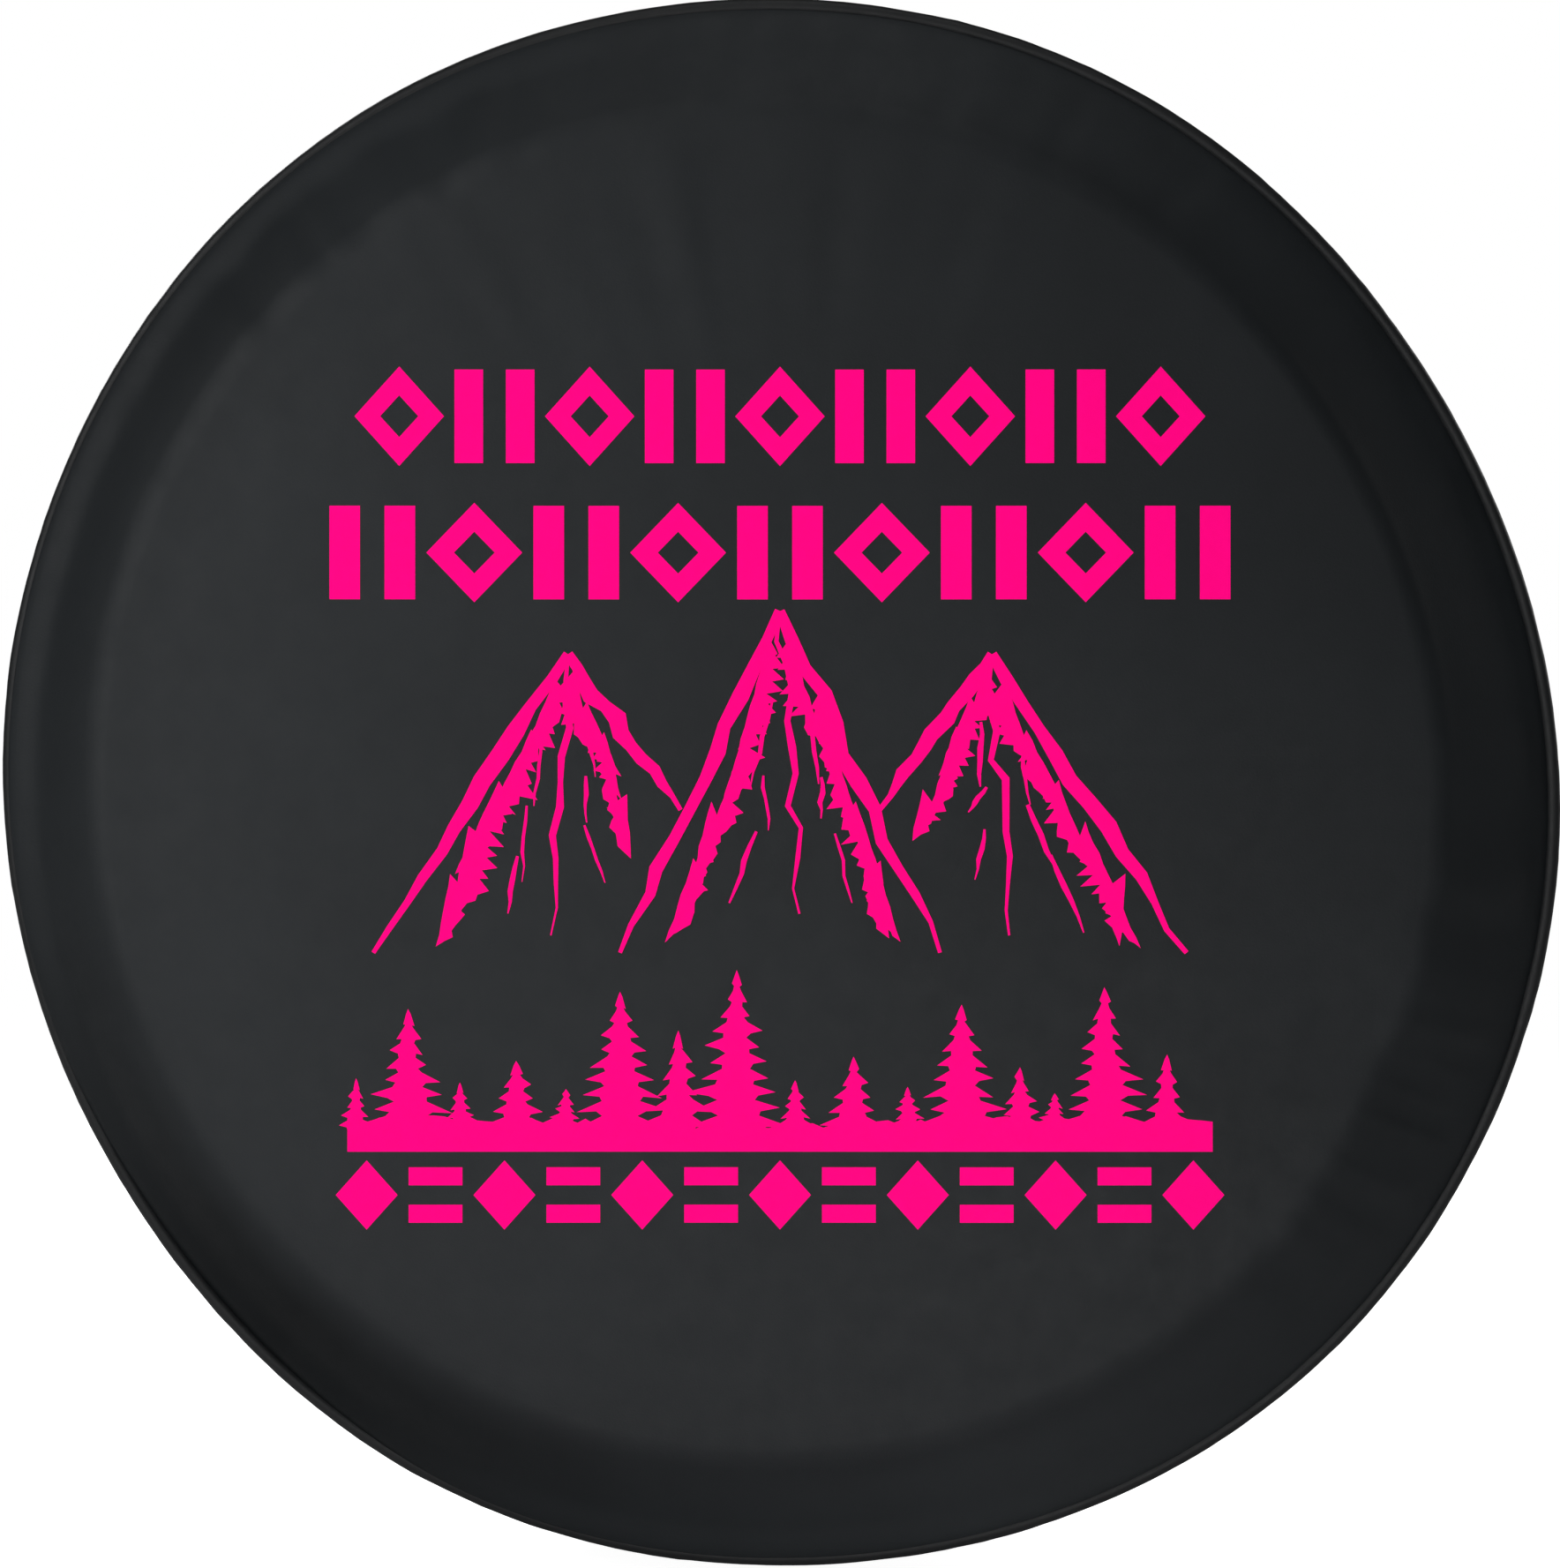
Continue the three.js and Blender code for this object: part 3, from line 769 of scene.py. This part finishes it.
def make_band():
    rear = SHOULDER_DEPTH + STRIP_PAST_SHOULDER
    front = (BAND_RADIUS, PIPING_DEPTH + 9 * MM)
    section = [SEAM_EDGE, *line(SEAM_EDGE, BAND_FOLD, 3), (BAND_RADIUS - 0.4 * MM, PIPING_DEPTH + 5 * MM), front]
    section += line(front, (BAND_RADIUS, FREE_FROM - 4 * MM), 11)
    section += line((BAND_RADIUS, FREE_FROM - 4 * MM), (BAND_RADIUS, rear), 26)
    band = spun("band_cloth_upper", section)
    face_outwards(band, from_axle)
    draw_in(band, rear)
    for vertex in band.data.vertices:
        place = vertex.co
        bearing = bearing_of(place)
        on_tread = smooth_step(place.y, -0.076, -0.05) * (1 - smooth_step(place.y, 0.06, 0.085))
        ripple = noise.noise(Vector((9 * math.cos(bearing), 9 * math.sin(bearing), place.y * 7)))
        fine = noise.noise(Vector((34 * math.cos(bearing), 34 * math.sin(bearing), place.y * 5)))
        place += from_axle(place) * (0.7 * ripple + 0.12 * fine) * MM * on_tread
    settle(band)
    flatten_round_eyelets(band)
    finish_modifier(band, "SUBSURF", levels=1, render_levels=1)

    only(band)
    bpy.ops.object.duplicate()
    lower = bpy.context.object
    lower.name = "band_cloth_lower"
    lower.data.name = "band_cloth_lower"
    for half, upper in ((band, True), (lower, False)):
        open_up(half)
        bpy.ops.mesh.bisect(
            plane_co=(0, 0, 0.05 * MM if upper else -0.05 * MM),
            plane_no=(0, 0, 1),
            clear_inner=upper,
            clear_outer=not upper,
        )
        close_up()
        for vertex in half.data.vertices:
            if abs(vertex.co.z) < 0.3 * MM and -0.07 < vertex.co.y < 0.08:
                vertex.co -= from_axle(vertex.co) * 0.7 * MM
        thicken(half)
        smooth(half, 60)
    for name in EYELETS:
        pierce(lower, name)
    for half, node in ((band, "band_upper"), (lower, "band_lower")):
        handed_over(half, [node], "vinyl", VINYL, KNIT_BACK)
    return band, lower


def pierce(cloth, name):
    """Punches the eyelet's hole through the cloth with a round cutter."""
    eyelet = EYELETS[name]
    middle = eyelet_middle(name)
    bpy.ops.object.select_all(action="DESELECT")
    turn = (math.pi / 2, 0, 0) if name.startswith("lock") else (0, 0, 0)
    bpy.ops.mesh.primitive_cylinder_add(
        vertices=32, radius=(eyelet["bore"] + 1.1) * MM, depth=24 * MM, location=middle, rotation=turn
    )
    cutter = bpy.context.object
    finish_modifier(cloth, "BOOLEAN", object=cutter, operation="DIFFERENCE", solver="EXACT")
    bpy.data.objects.remove(cutter)


# ---- The hem ----


def lay_over(piece, cloths, height, wanted):
    """Lifts the wanted vertices to lie that far behind the cloths, seen from the back."""
    bpy.context.view_layer.update()
    behind = 0.16
    for vertex in piece.data.vertices:
        place = vertex.co
        if not wanted(place):
            continue
        for cloth in cloths:
            found, hit, _, _ = cloth.ray_cast(Vector((place.x, behind, place.z)), Vector((0, -1, 0)))
            if found:
                place.y = max(place.y, hit.y + height(place))
    piece.data.update()


def make_hem(band_halves):
    """The casing: a gathered tunnel round the elastic, closed on the return's edge by a row of stitches."""
    lip = 262.5 * MM
    tube = arc((HEM_RADIUS, HEM_DEPTH), HEM_TUBE - 0.4 * MM, 38, 322, 14)
    section = [(lip, HEM_DEPTH + 2.0 * MM), (257 * MM, HEM_DEPTH + 2.4 * MM), *tube]
    section += [(257 * MM, HEM_DEPTH - 2.4 * MM), (lip, HEM_DEPTH - 2.0 * MM)]
    casing = spun("hem_casing_cloth", section, turns=3 * ROUND)
    face_outwards(casing, lambda place: place - on_ring(bearing_of(place), HEM_RADIUS, HEM_DEPTH))
    for vertex in casing.data.vertices:
        place = vertex.co
        bearing = bearing_of(place)
        middle = on_ring(bearing, HEM_RADIUS, HEM_DEPTH)
        out = place - middle
        lip_share = smooth_step(radius_of(place), HEM_RADIUS + 3 * MM, lip)
        crumple = noise.noise(Vector((70 * math.cos(bearing), 70 * math.sin(bearing), out.y * 120)))
        place.y += 1.5 * MM * gather(bearing) * lip_share
        pleat = 0.75 * gather(bearing) + 0.45 * math.sin(2 * PLEATS * bearing + 3 * out.y / MM) + 0.5 * crumple
        place += out.normalized() * pleat * MM * (1 - lip_share) * 0.7
    on_return = lambda place: radius_of(place) > 256 * MM and place.y > HEM_DEPTH + MM / 2
    lay_over(casing, band_halves, lambda place: 1.2 * MM, on_return)
    thicken(casing, lined=False)
    smooth(casing, 70)
    handed_over(casing, ["hem_casing"], "vinyl", VINYL)
    return casing


# ---- Threads ----


def one_stitch(name, long, thick, place, along):
    """A stitch: a short round bar with drawn-down ends, lying at a place."""
    bpy.ops.object.select_all(action="DESELECT")
    bpy.ops.mesh.primitive_cylinder_add(vertices=8, radius=thick / 2, depth=long * 0.6, end_fill_type="NGON")
    stitch = bpy.context.object
    stitch.name = name
    stitch.data.name = name
    for end in (1, -1):
        open_up(stitch)
        bpy.ops.mesh.select_mode(type="FACE")
        bpy.ops.mesh.select_all(action="DESELECT")
        close_up()
        for face in stitch.data.polygons:
            face.select = face.normal.z * end > 0.9
        bpy.ops.object.mode_set(mode="EDIT")
        bpy.ops.mesh.extrude_region_move(TRANSFORM_OT_translate={"value": (0, 0, end * long * 0.18)})
        bpy.ops.transform.resize(value=(0.5, 0.5, 1))
        close_up()
    turn = Vector((0, 0, 1)).rotation_difference(Vector(along)).to_matrix().to_4x4()
    stitch.data.transform(Matrix.Translation(place) @ turn)
    return stitch


def ring_of(piece, count):
    """Copies the piece evenly round the axle."""
    step = bpy.data.objects.new("step_round", None)
    bpy.context.scene.collection.objects.link(step)
    step.rotation_euler = (0, math.tau / count, 0)
    bpy.context.view_layer.update()
    finish_modifier(
        piece,
        "ARRAY",
        fit_type="FIXED_COUNT",
        count=count,
        use_relative_offset=False,
        use_object_offset=True,
        offset_object=step,
    )
    bpy.data.objects.remove(step)


def make_threads(casing):
    hem_row = HEM_DEPTH - 4 * MM
    hem = one_stitch("hem_stitches", 3.2 * MM, 0.9 * MM, (0, hem_row, 260 * MM), (1, 0, 0))
    ring_of(hem, 400)
    lay_over(hem, [casing], lambda place: place.y - hem_row + 0.15 * MM, lambda place: True)
    smooth(hem, 60)
    handed_over(hem, ["hem_thread"], "thread", THREAD)

    seam_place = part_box("face_seam_thread")
    seam_radius = seam_place[1].x
    seam_depth = (seam_place[0].y + seam_place[1].y) / 2
    seam = one_stitch("face_seam_stitches", 4.0 * MM, 0.8 * MM, (0, seam_depth, seam_radius), (1, 0, 0))
    ring_of(seam, 460)
    settle(seam)
    smooth(seam, 60)
    handed_over(seam, ["face_seam_thread"], "thread", THREAD)

    for side, sign in (("left", -1), ("right", 1)):
        low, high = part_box(f"join_thread_{side}")
        rows = []
        pitch = 4.2 * MM
        for height in (low.z + 0.4 * MM, high.z - 0.4 * MM):
            name = f"join_stitches_{side}" if not rows else f"join_row_{side}"
            start = (sign * (BAND_RADIUS + 0.35 * MM), low.y + 3 * MM, height)
            row = one_stitch(name, 3.4 * MM, 0.8 * MM, start, (0, 1, 0))
            finish_modifier(
                row,
                "ARRAY",
                fit_type="FIXED_COUNT",
                count=int((high.y - low.y - 14 * MM) / pitch),
                use_relative_offset=False,
                use_constant_offset=True,
                constant_offset_displace=(0, pitch, 0),
            )
            rows.append(row)
        only(rows[0])
        rows[1].select_set(True)
        bpy.ops.object.join()
        settle(rows[0])
        smooth(rows[0], 60)
        handed_over(rows[0], [f"join_thread_{side}"], "thread", THREAD)


def make_tapes():
    """The tape inside each join of the band."""
    for side in ("left", "right"):
        low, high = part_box(f"join_tape_{side}")
        bpy.ops.object.select_all(action="DESELECT")
        bpy.ops.mesh.primitive_cube_add(size=1)
        tape = bpy.context.object
        tape.name = f"join_tape_cloth_{side}"
        tape.data.name = tape.name
        open_up(tape)
        low.y -= 5 * MM
        high.y -= 16 * MM
        bpy.ops.transform.resize(value=high - low)
        bpy.ops.transform.translate(value=(low + high) / 2)
        bpy.ops.mesh.subdivide(number_cuts=12)
        close_up()
        settle(tape)
        smooth(tape)
        handed_over(tape, [f"join_tape_{side}"], "join_tape", TAPE)


# ---- Eyelets ----


def eyelet_section(bore, flange, stack):
    """A domed flange outside, a barrel through the cloth and a rolled lip inside, in metres about its own axis."""
    barrel = bore + 0.9
    inside = -stack - 2.4
    dome = [(flange, 0.1), (flange, 0.45), (flange - 0.5, 0.95), ((bore + flange) / 2, 1.5)]
    dome += [(bore + 0.9, 1.35), (bore + 0.2, 0.9), (bore, 0.3)]
    barrel_in = [(bore, inside + 0.2), (bore + 0.3, inside - 0.3), (bore + 1.1, inside - 0.55)]
    lip = [(bore + 2.0, inside - 0.25), (bore + 2.3, inside + 0.35), (bore + 1.9, inside + 0.7)]
    outside = [(barrel, inside + 0.75), (barrel, 0.1)]
    return [(r * MM, y * MM) for r, y in dome + barrel_in + lip + outside]


def washer_section(bore, flange, stack):
    top = -stack - 0.35
    inner = bore + 1.2
    points = [(inner, top), (inner, top - 0.7), (inner + 0.5, top - 0.95), (flange - 0.4, top - 0.95)]
    points += [(flange, top - 0.6), (flange, top)]
    return [(r * MM, y * MM) for r, y in points]


def make_eyelets():
    for name, eyelet in EYELETS.items():
        kind, where = name.split("_")
        middle = eyelet_middle(name)
        if kind == "lock":
            seat = Matrix.Translation((middle.x, RETURN_DEPTH, middle.z))
        else:
            turn = Matrix.Rotation(-math.pi / 2, 4, "X")
            seat = Matrix.Translation((middle.x, middle.y, -BAND_RADIUS * FACET)) @ turn
        sizes = (eyelet["bore"], eyelet["flange"], eyelet["stack"])
        ring = spun(f"{kind}_eyelet_ring_{where}", eyelet_section(*sizes), turns=64, closed=True)
        ring.data.transform(seat)
        smooth(ring, 50)
        handed_over(ring, [f"{kind}_eyelet_{where}"], "plated_metal", NICKEL)
        washer = spun(f"{kind}_washer_ring_{where}", washer_section(*sizes), turns=64, closed=True)
        washer.data.transform(seat)
        smooth(washer, 50)
        handed_over(washer, [f"{kind}_washer_{where}"], "plated_metal", NICKEL)


def make_patches():
    """The doubling patch inside the return, behind each lock eyelet: a square with round corners."""
    half = 21 * MM
    for where in ("left", "right"):
        low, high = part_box(f"lock_patch_{where}")
        middle = (low + high) / 2
        patch = spun(
            f"lock_patch_cloth_{where}",
            [(6.4 * MM, 0), *line((6.4 * MM, 0), (half, 0), 6)],
            turns=96,
        )
        lean = math.atan2(middle.x, -middle.z)
        for vertex in patch.data.vertices:
            place = vertex.co
            turn = bearing_of(place) + lean
            squared = (abs(math.cos(turn)) ** 7 + abs(math.sin(turn)) ** 7) ** (-1 / 7)
            grown = 1 + (squared - 1) * smooth_step(radius_of(place), 8 * MM, half)
            place.x *= grown
            place.z *= grown
        face_outwards(patch, lambda place: Vector((0, 1, 0)))
        thicken(patch, CLOTH, lined=False)
        patch.data.transform(Matrix.Translation((middle.x, high.y, middle.z)))
        smooth(patch)
        handed_over(patch, [f"lock_patch_{where}"], "vinyl", VINYL)


# ---- The label ----


def make_label():
    """A blank woven label, hanging from the hem with a slight curl."""
    low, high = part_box("care_label")
    wide, drop = high.x - low.x, high.z - low.z
    bpy.ops.object.select_all(action="DESELECT")
    bpy.ops.mesh.primitive_grid_add(x_subdivisions=24, y_subdivisions=40, size=1)
    label = bpy.context.object
    label.name = "care_label_cloth"
    label.data.name = label.name
    open_up(label)
    bpy.ops.transform.resize(value=(wide, drop, 1))
    bpy.ops.transform.rotate(value=math.pi / 2, orient_axis="X", center_override=(0, 0, 0))
    bpy.ops.transform.translate(value=(low + high) / 2)
    close_up()
    for vertex in label.data.vertices:
        place = vertex.co
        down = (high.z - place.z) / drop
        across = place.x / (wide / 2)
        place.y += (1.6 * down**2 + 0.7 * across**2 * down + 0.3 * math.sin(5 * down + 2 * across)) * MM
    finish_modifier(label, "SOLIDIFY", thickness=0.5 * MM, offset=0)
    finish_modifier(label, "SUBSURF", levels=1, render_levels=1)
    smooth(label)
    handed_over(label, ["care_label"], "label_cloth", LABEL_CLOTH, body="label")


# ---- The print ----

FILM = 0.12 * MM
CELL = 12 * MM  # the films are cut into cells of this size, so that they follow the face


def outline(name, loops):
    """Draws closed outlines on the face's plane by extruding vertices, and fills them; one inside another is a hole."""
    piece = None
    for points in loops:
        drawn = [Vector((x * MM, 0, z * MM)) for x, z in points]
        loop = point_piece(name, drawn[0])
        draw_on([*drawn, drawn[0]])
        bpy.ops.mesh.select_all(action="SELECT")
        bpy.ops.mesh.remove_doubles(threshold=0.001 * MM)
        close_up()
        if piece is None:
            piece = loop
        else:
            only(piece)
            loop.select_set(True)
            bpy.ops.object.join()
    open_up(piece)
    bpy.ops.mesh.fill(use_beauty=True)
    close_up()
    return piece


def lay_on(piece, face, height):
    """Cuts a filled outline into cells and lays it on the face's cloth, that far above it."""
    places = [vertex.co.copy() for vertex in piece.data.vertices]
    open_up(piece)
    for axis in (0, 2):
        low = min(place[axis] for place in places)
        high = max(place[axis] for place in places)
        normal = (1, 0, 0) if axis == 0 else (0, 0, 1)
        for cut in range(math.ceil(low / CELL), math.floor(high / CELL) + 1):
            bpy.ops.mesh.select_all(action="SELECT")
            bpy.ops.mesh.bisect(plane_co=[cut * CELL * part for part in normal], plane_no=normal)
    bpy.ops.mesh.select_all(action="SELECT")
    bpy.ops.transform.translate(value=(0, 2 * FACE_DEPTH, 0))
    close_up()
    face_outwards(piece, lambda place: Vector((0, -1, 0)))
    finish_modifier(
        piece,
        "SHRINKWRAP",
        target=face,
        wrap_method="PROJECT",
        use_project_y=True,
        use_negative_direction=True,
        use_positive_direction=True,
        offset=height,
    )
    finish_modifier(piece, "SOLIDIFY", thickness=FILM, offset=1)


def joined(name, pieces):
    only(pieces[0])
    for piece in pieces[1:]:
        piece.select_set(True)
    bpy.ops.object.join()
    pieces[0].name = name
    pieces[0].data.name = name
    return pieces[0]


def row_tiles(name):
    """The row's half width, height and middle height, the pitch of its tiles and their count, in millimetres apart from
    the count.
    """
    low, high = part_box(name)
    half = high.x / MM
    tall = (high.z - low.z) / MM
    count = 9 if tall > 40 else 13
    pitch = 2 * half / count
    return half, tall, (low.z + high.z) / 2 / MM, pitch, count


def make_row(name, face, shapes):
    """A row of plain shapes, each drawn once for its place: diamonds with a hole, and pairs of bars between."""
    half, tall, middle, pitch, count = row_tiles(name)
    pieces = []
    for tile in range(count):
        x = -half + pitch * (tile + 0.5)
        pieces.append(outline("tile", shapes(tile, x, middle, pitch, tall)))
    row = joined(f"{name}_film", pieces)
    lay_on(row, face, FILM)
    smooth(row, 30)
    handed_over(row, [name], "print_film", INK)


def diamond(x, z, wide, tall):
    return [(x - wide / 2, z), (x, z - tall / 2), (x + wide / 2, z), (x, z + tall / 2)]


def bar(x, z, wide, tall):
    return [
        (x - wide / 2, z - tall / 2),
        (x + wide / 2, z - tall / 2),
        (x + wide / 2, z + tall / 2),
        (x - wide / 2, z + tall / 2),
    ]


def diamonds_and_bars(tile, x, z, pitch, tall):
    if tile % 2 == 0:
        return [diamond(x, z, pitch * 0.94, tall), diamond(x, z, pitch * 0.4, tall * 0.42)]
    return [bar(x + side * pitch * 0.27, z, pitch * 0.3, tall * 0.94) for side in (-1, 1)]


def bars_and_diamonds(tile, x, z, pitch, tall):
    return diamonds_and_bars(tile + 1, x, z, pitch, tall)


def small_diamonds(tile, x, z, pitch, tall):
    if tile % 2 == 0:
        return [diamond(x, z, pitch * 0.9, tall)]
    return [bar(x, z + side * tall * 0.27, pitch * 0.78, tall * 0.26) for side in (-1, 1)]


def brush_line(points, widest, rng):
    """The outline of a brush line along the points: thin at both ends, with an uneven edge."""
    left, right = [], []
    last = len(points) - 1
    for index, (x, z) in enumerate(points):
        ahead = points[min(index + 1, last)]
        behind = points[max(index - 1, 0)]
        run = Vector((ahead[0] - behind[0], ahead[1] - behind[1])).normalized()
        share = index / last
        half = widest / 2 * max(0.12, math.sin(math.pi * min(0.95, 0.15 + share * 0.85)) ** 0.7)
        half *= rng.uniform(0.75, 1.2)
        left.append((x - run.y * half, z + run.x * half))
        right.append((x + run.y * half, z - run.x * half))
    return left + right[::-1]


def ragged(start, end, steps, sway, rng):
    """Points from start to end, each off the straight line by a little."""
    points = []
    for step in range(steps + 1):
        share = step / steps
        off = rng.uniform(-sway, sway) if 0 < step < steps else 0
        points.append((start[0] + (end[0] - start[0]) * share + off, start[1] + (end[1] - start[1]) * share + off / 2))
    return points


PEAKS = (
    # summit, left foot, right foot, foot of the ridge, all (across, height) in millimetres
    ((-98, 60), (-188, -78), (-46, -12), (-106, -70)),
    ((98, 60), (46, -12), (188, -78), (106, -70)),
    ((0, 80), (-74, -78), (74, -78), (9, -60)),
)


def shard(start, end, widest, side, rng):
    """The outline of a shaded facet: one edge is smooth, and the other is torn into teeth."""
    run = Vector((end[0] - start[0], end[1] - start[1]))
    across = Vector((run.y, -run.x)).normalized() * side
    steps = max(4, round(run.length / 5.5))
    smooth_edge, torn_edge = [], []
    for step in range(steps + 1):
        share = step / steps
        middle = Vector(start) + run * share + across * rng.uniform(-0.5, 0.5)
        wide = widest * math.sin(math.pi * (0.06 + 0.9 * share) ** 0.8)
        smooth_edge.append(tuple(middle))
        if 0 < step < steps:
            torn_edge.append(tuple(middle + across * wide * rng.uniform(0.65, 1.25)))
            notch = middle + across * wide * rng.uniform(0.4, 0.9) + run.normalized() * rng.uniform(0.6, 3.4)
            torn_edge.append(tuple(notch))
    return smooth_edge + torn_edge[::-1]


def between(first, second, share):
    return (first[0] + (second[0] - first[0]) * share, first[1] + (second[1] - first[1]) * share)


def make_mountains(face):
    """Three plain peaks: brushed edges, a ridge, shaded facets down both sides and a few loose streaks."""
    rng = random.Random(11)
    pieces = []
    for summit, left_foot, right_foot, ridge_foot in PEAKS:
        ridge = ragged(summit, ridge_foot, 11, 3.5, rng)
        shapes = [brush_line(ridge, 3.2, rng)]
        for side, foot in ((-1, left_foot), (1, right_foot)):
            edge = ragged(summit, foot, 12, 2.6, rng)
            shapes.append(brush_line(edge, 7.5, rng))
            for facet in range(5):
                share = 0.08 + 0.17 * facet
                start = between(edge[round(share * 12)], ridge[round(share * 11)], rng.uniform(0.12, 0.3))
                down = min(1, share + rng.uniform(0.26, 0.42))
                end = between(edge[round(down * 12)], ridge[round(down * 11)], rng.uniform(0.2, 0.42))
                shapes.append(shard(start, end, rng.uniform(8.0, 15.0), side, rng))
            for streak in range(3):
                share = 0.3 + 0.2 * streak
                start = between(edge[round(share * 12)], ridge[round(share * 11)], rng.uniform(0.55, 0.8))
                down = min(1, share + rng.uniform(0.18, 0.3))
                end = between(edge[round(down * 12)], ridge[round(down * 11)], rng.uniform(0.5, 0.75))
                shapes.append(brush_line(ragged(start, end, 5, 0.8, rng), rng.uniform(1.6, 3.0), rng))
        for shape in shapes:
            piece = outline("mark", [shape])
            lay_on(piece, face, FILM * (1 + 0.04 * len(pieces)))
            pieces.append(piece)
    mountains = joined("print_mountains_film", pieces)
    smooth(mountains, 30)
    handed_over(mountains, ["print_mountains"], "print_film", INK)


PINES = (
    # middle, half the spread, height: the trees of the print, in millimetres
    (-172, 22, 54),
    (-122, 15, 30),
    (-74, 24, 62),
    (-20, 26, 72),
    (34, 15, 32),
    (84, 22, 56),
    (150, 24, 64),
    (-196, 8, 22),
    (-148, 9, 20),
    (-99, 9, 17),
    (-47, 17, 44),
    (7, 10, 21),
    (59, 9, 18),
    (111, 12, 27),
    (127, 8, 15),
    (179, 13, 33),
)


def pine_outline(middle, spread, tall, ground, rng):
    """A fir with drooping tiers: out along each branch, and back to the trunk under it."""
    tiers = max(5, round(tall / 7))
    right, left = [], []
    for tier in range(tiers):
        top = ground + tall * (1 - tier / tiers)
        foot = ground + tall * (1 - (tier + 1) / tiers)
        reach = spread * (tier + 1) / tiers
        for side, branch in ((1, right), (-1, left)):
            out = reach * rng.uniform(0.74, 1.16)
            branch.append((middle + side * out * 0.42, top - (top - foot) * 0.35))
            branch.append((middle + side * out, foot + rng.uniform(-1.2, 1.2)))
            branch.append((middle + side * out * 0.55, foot - rng.uniform(0.2, 0.9)))
    tip = (middle, ground + tall)
    return [tip, *right, (middle + spread * 0.3, ground - 7), (middle - spread * 0.3, ground - 7), *left[::-1]]


def make_pines(face):
    """The tree line: firs on an uneven ground strip with a straight foot."""
    rng = random.Random(5)
    low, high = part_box("print_pines")
    half, base = high.x / MM, low.z / MM
    ground = base + 12
    ridge = [(half - 2 * half * k / 80, ground + 1.5 + rng.uniform(-1.5, 1.5) + 2 * math.sin(k / 9)) for k in range(81)]
    pieces = [outline("ground", [[(-half, base), (half, base), *ridge]])]
    for middle, spread, tall in PINES:
        pieces.append(outline("fir", [pine_outline(middle, spread, tall, ground, rng)]))
    for index, piece in enumerate(pieces):
        lay_on(piece, face, FILM * (1 + 0.1 * index))
    pines = joined("print_pines_film", pieces)
    smooth(pines, 30)
    handed_over(pines, ["print_pines"], "print_film", INK)


# ---- The studio ----


ROOM_ROUND = 1.0036  # the camera's view over the cover's height at the piping


def make_studio():
    scene = bpy.context.scene
    scene.view_settings.view_transform = "Standard"

    distance = 2.6
    seen = 2 * rim("piping_wrap") * ROOM_ROUND
    camera_data = bpy.data.cameras.new("front_camera")
    camera = bpy.data.objects.new("front_camera", camera_data)
    scene.collection.objects.link(camera)
    camera.location = (0, -distance, 0)
    camera.rotation_euler = (math.pi / 2, 0, 0)
    camera_data.sensor_width = 36
    camera_data.lens = 36 * (distance + PIPING_DEPTH) / seen
    scene.camera = camera

    lights = (
        # name, place, what it points at, size, watts
        ("key", (-0.8, -1.6, 0.35), (-0.05, 0, 0), 0.8, 7.2),
        ("side", (-1.1, -0.95, 0.6), (-0.05, 0, 0), 0.6, 4.0),
        ("overhead", (0.05, -0.7, 1.3), (0, 0, 0), 0.8, 2.9),
        ("bounce", (0.2, -0.9, -0.3), (0, 0, 0), 0.2, 1.5),
        ("back", (-1.5, 2.4, 1.6), (0, 0, 0), 1.4, 60.0),
        ("rim", (2.2, 1.1, 0.9), (0.3, 0, 0), 1.0, 16.0),
    )
    for name, place, target, size, watts in lights:
        light_data = bpy.data.lights.new(name, "AREA")
        light_data.size = size
        light_data.energy = watts
        light = bpy.data.objects.new(name, light_data)
        scene.collection.objects.link(light)
        light.location = place
        light.rotation_euler = (Vector(target) - Vector(place)).to_track_quat("-Z", "Y").to_euler()

    world = bpy.data.worlds.new("pale_studio")
    scene.world = world
    world.use_nodes = True
    nodes, links = world.node_tree.nodes, world.node_tree.links
    background = nodes["Background"]
    path = nodes.new("ShaderNodeLightPath")
    strength = nodes.new("ShaderNodeMapRange")
    strength.inputs["To Min"].default_value = 0.045
    strength.inputs["To Max"].default_value = 1.0
    links.new(path.outputs["Is Camera Ray"], strength.inputs["Value"])
    links.new(strength.outputs["Result"], background.inputs["Strength"])
    background.inputs["Color"].default_value = (1, 1, 1, 1)

    bpy.ops.object.select_all(action="DESELECT")
    bpy.ops.mesh.primitive_plane_add(size=14, location=(0, 0, cad_low.z - 6 * MM))
    floor = bpy.context.object
    floor.name = "studio_floor"
    pale = Finish("pale_floor", (0.86, 0.86, 0.86), 0.9)
    pale.colours(pale.noise(3, 3), (0.3, (0.84, 0.84, 0.84)), (0.7, (0.88, 0.88, 0.88)))
    pale.set(Emission_Color=(1, 1, 1, 1), Specular_IOR_Level=0.0)
    seen_path = pale.nodes.new("ShaderNodeLightPath")
    pale.link(
        pale.spread(seen_path.outputs["Is Camera Ray"], 0.0, 0.96, 0, 1),
        pale.shader.inputs["Emission Strength"],
    )
    floor.data.materials.append(pale.material)


make_studio()
face_cloth = make_face()
make_lining()
make_piping()
band_halves = make_band()
hem_casing = make_hem(band_halves)
make_threads(hem_casing)
make_tapes()
make_eyelets()
make_patches()
make_label()
make_row("print_row_upper", face_cloth, diamonds_and_bars)
make_row("print_row_middle", face_cloth, bars_and_diamonds)
make_row("print_row_lower", face_cloth, small_diamonds)
make_mountains(face_cloth)
make_pines(face_cloth)

for node, material in (("elastic_cord", ELASTIC), ("elastic_ferrule", NICKEL)):
    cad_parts[node].data.materials.clear()
    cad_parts[node].data.materials.append(material)
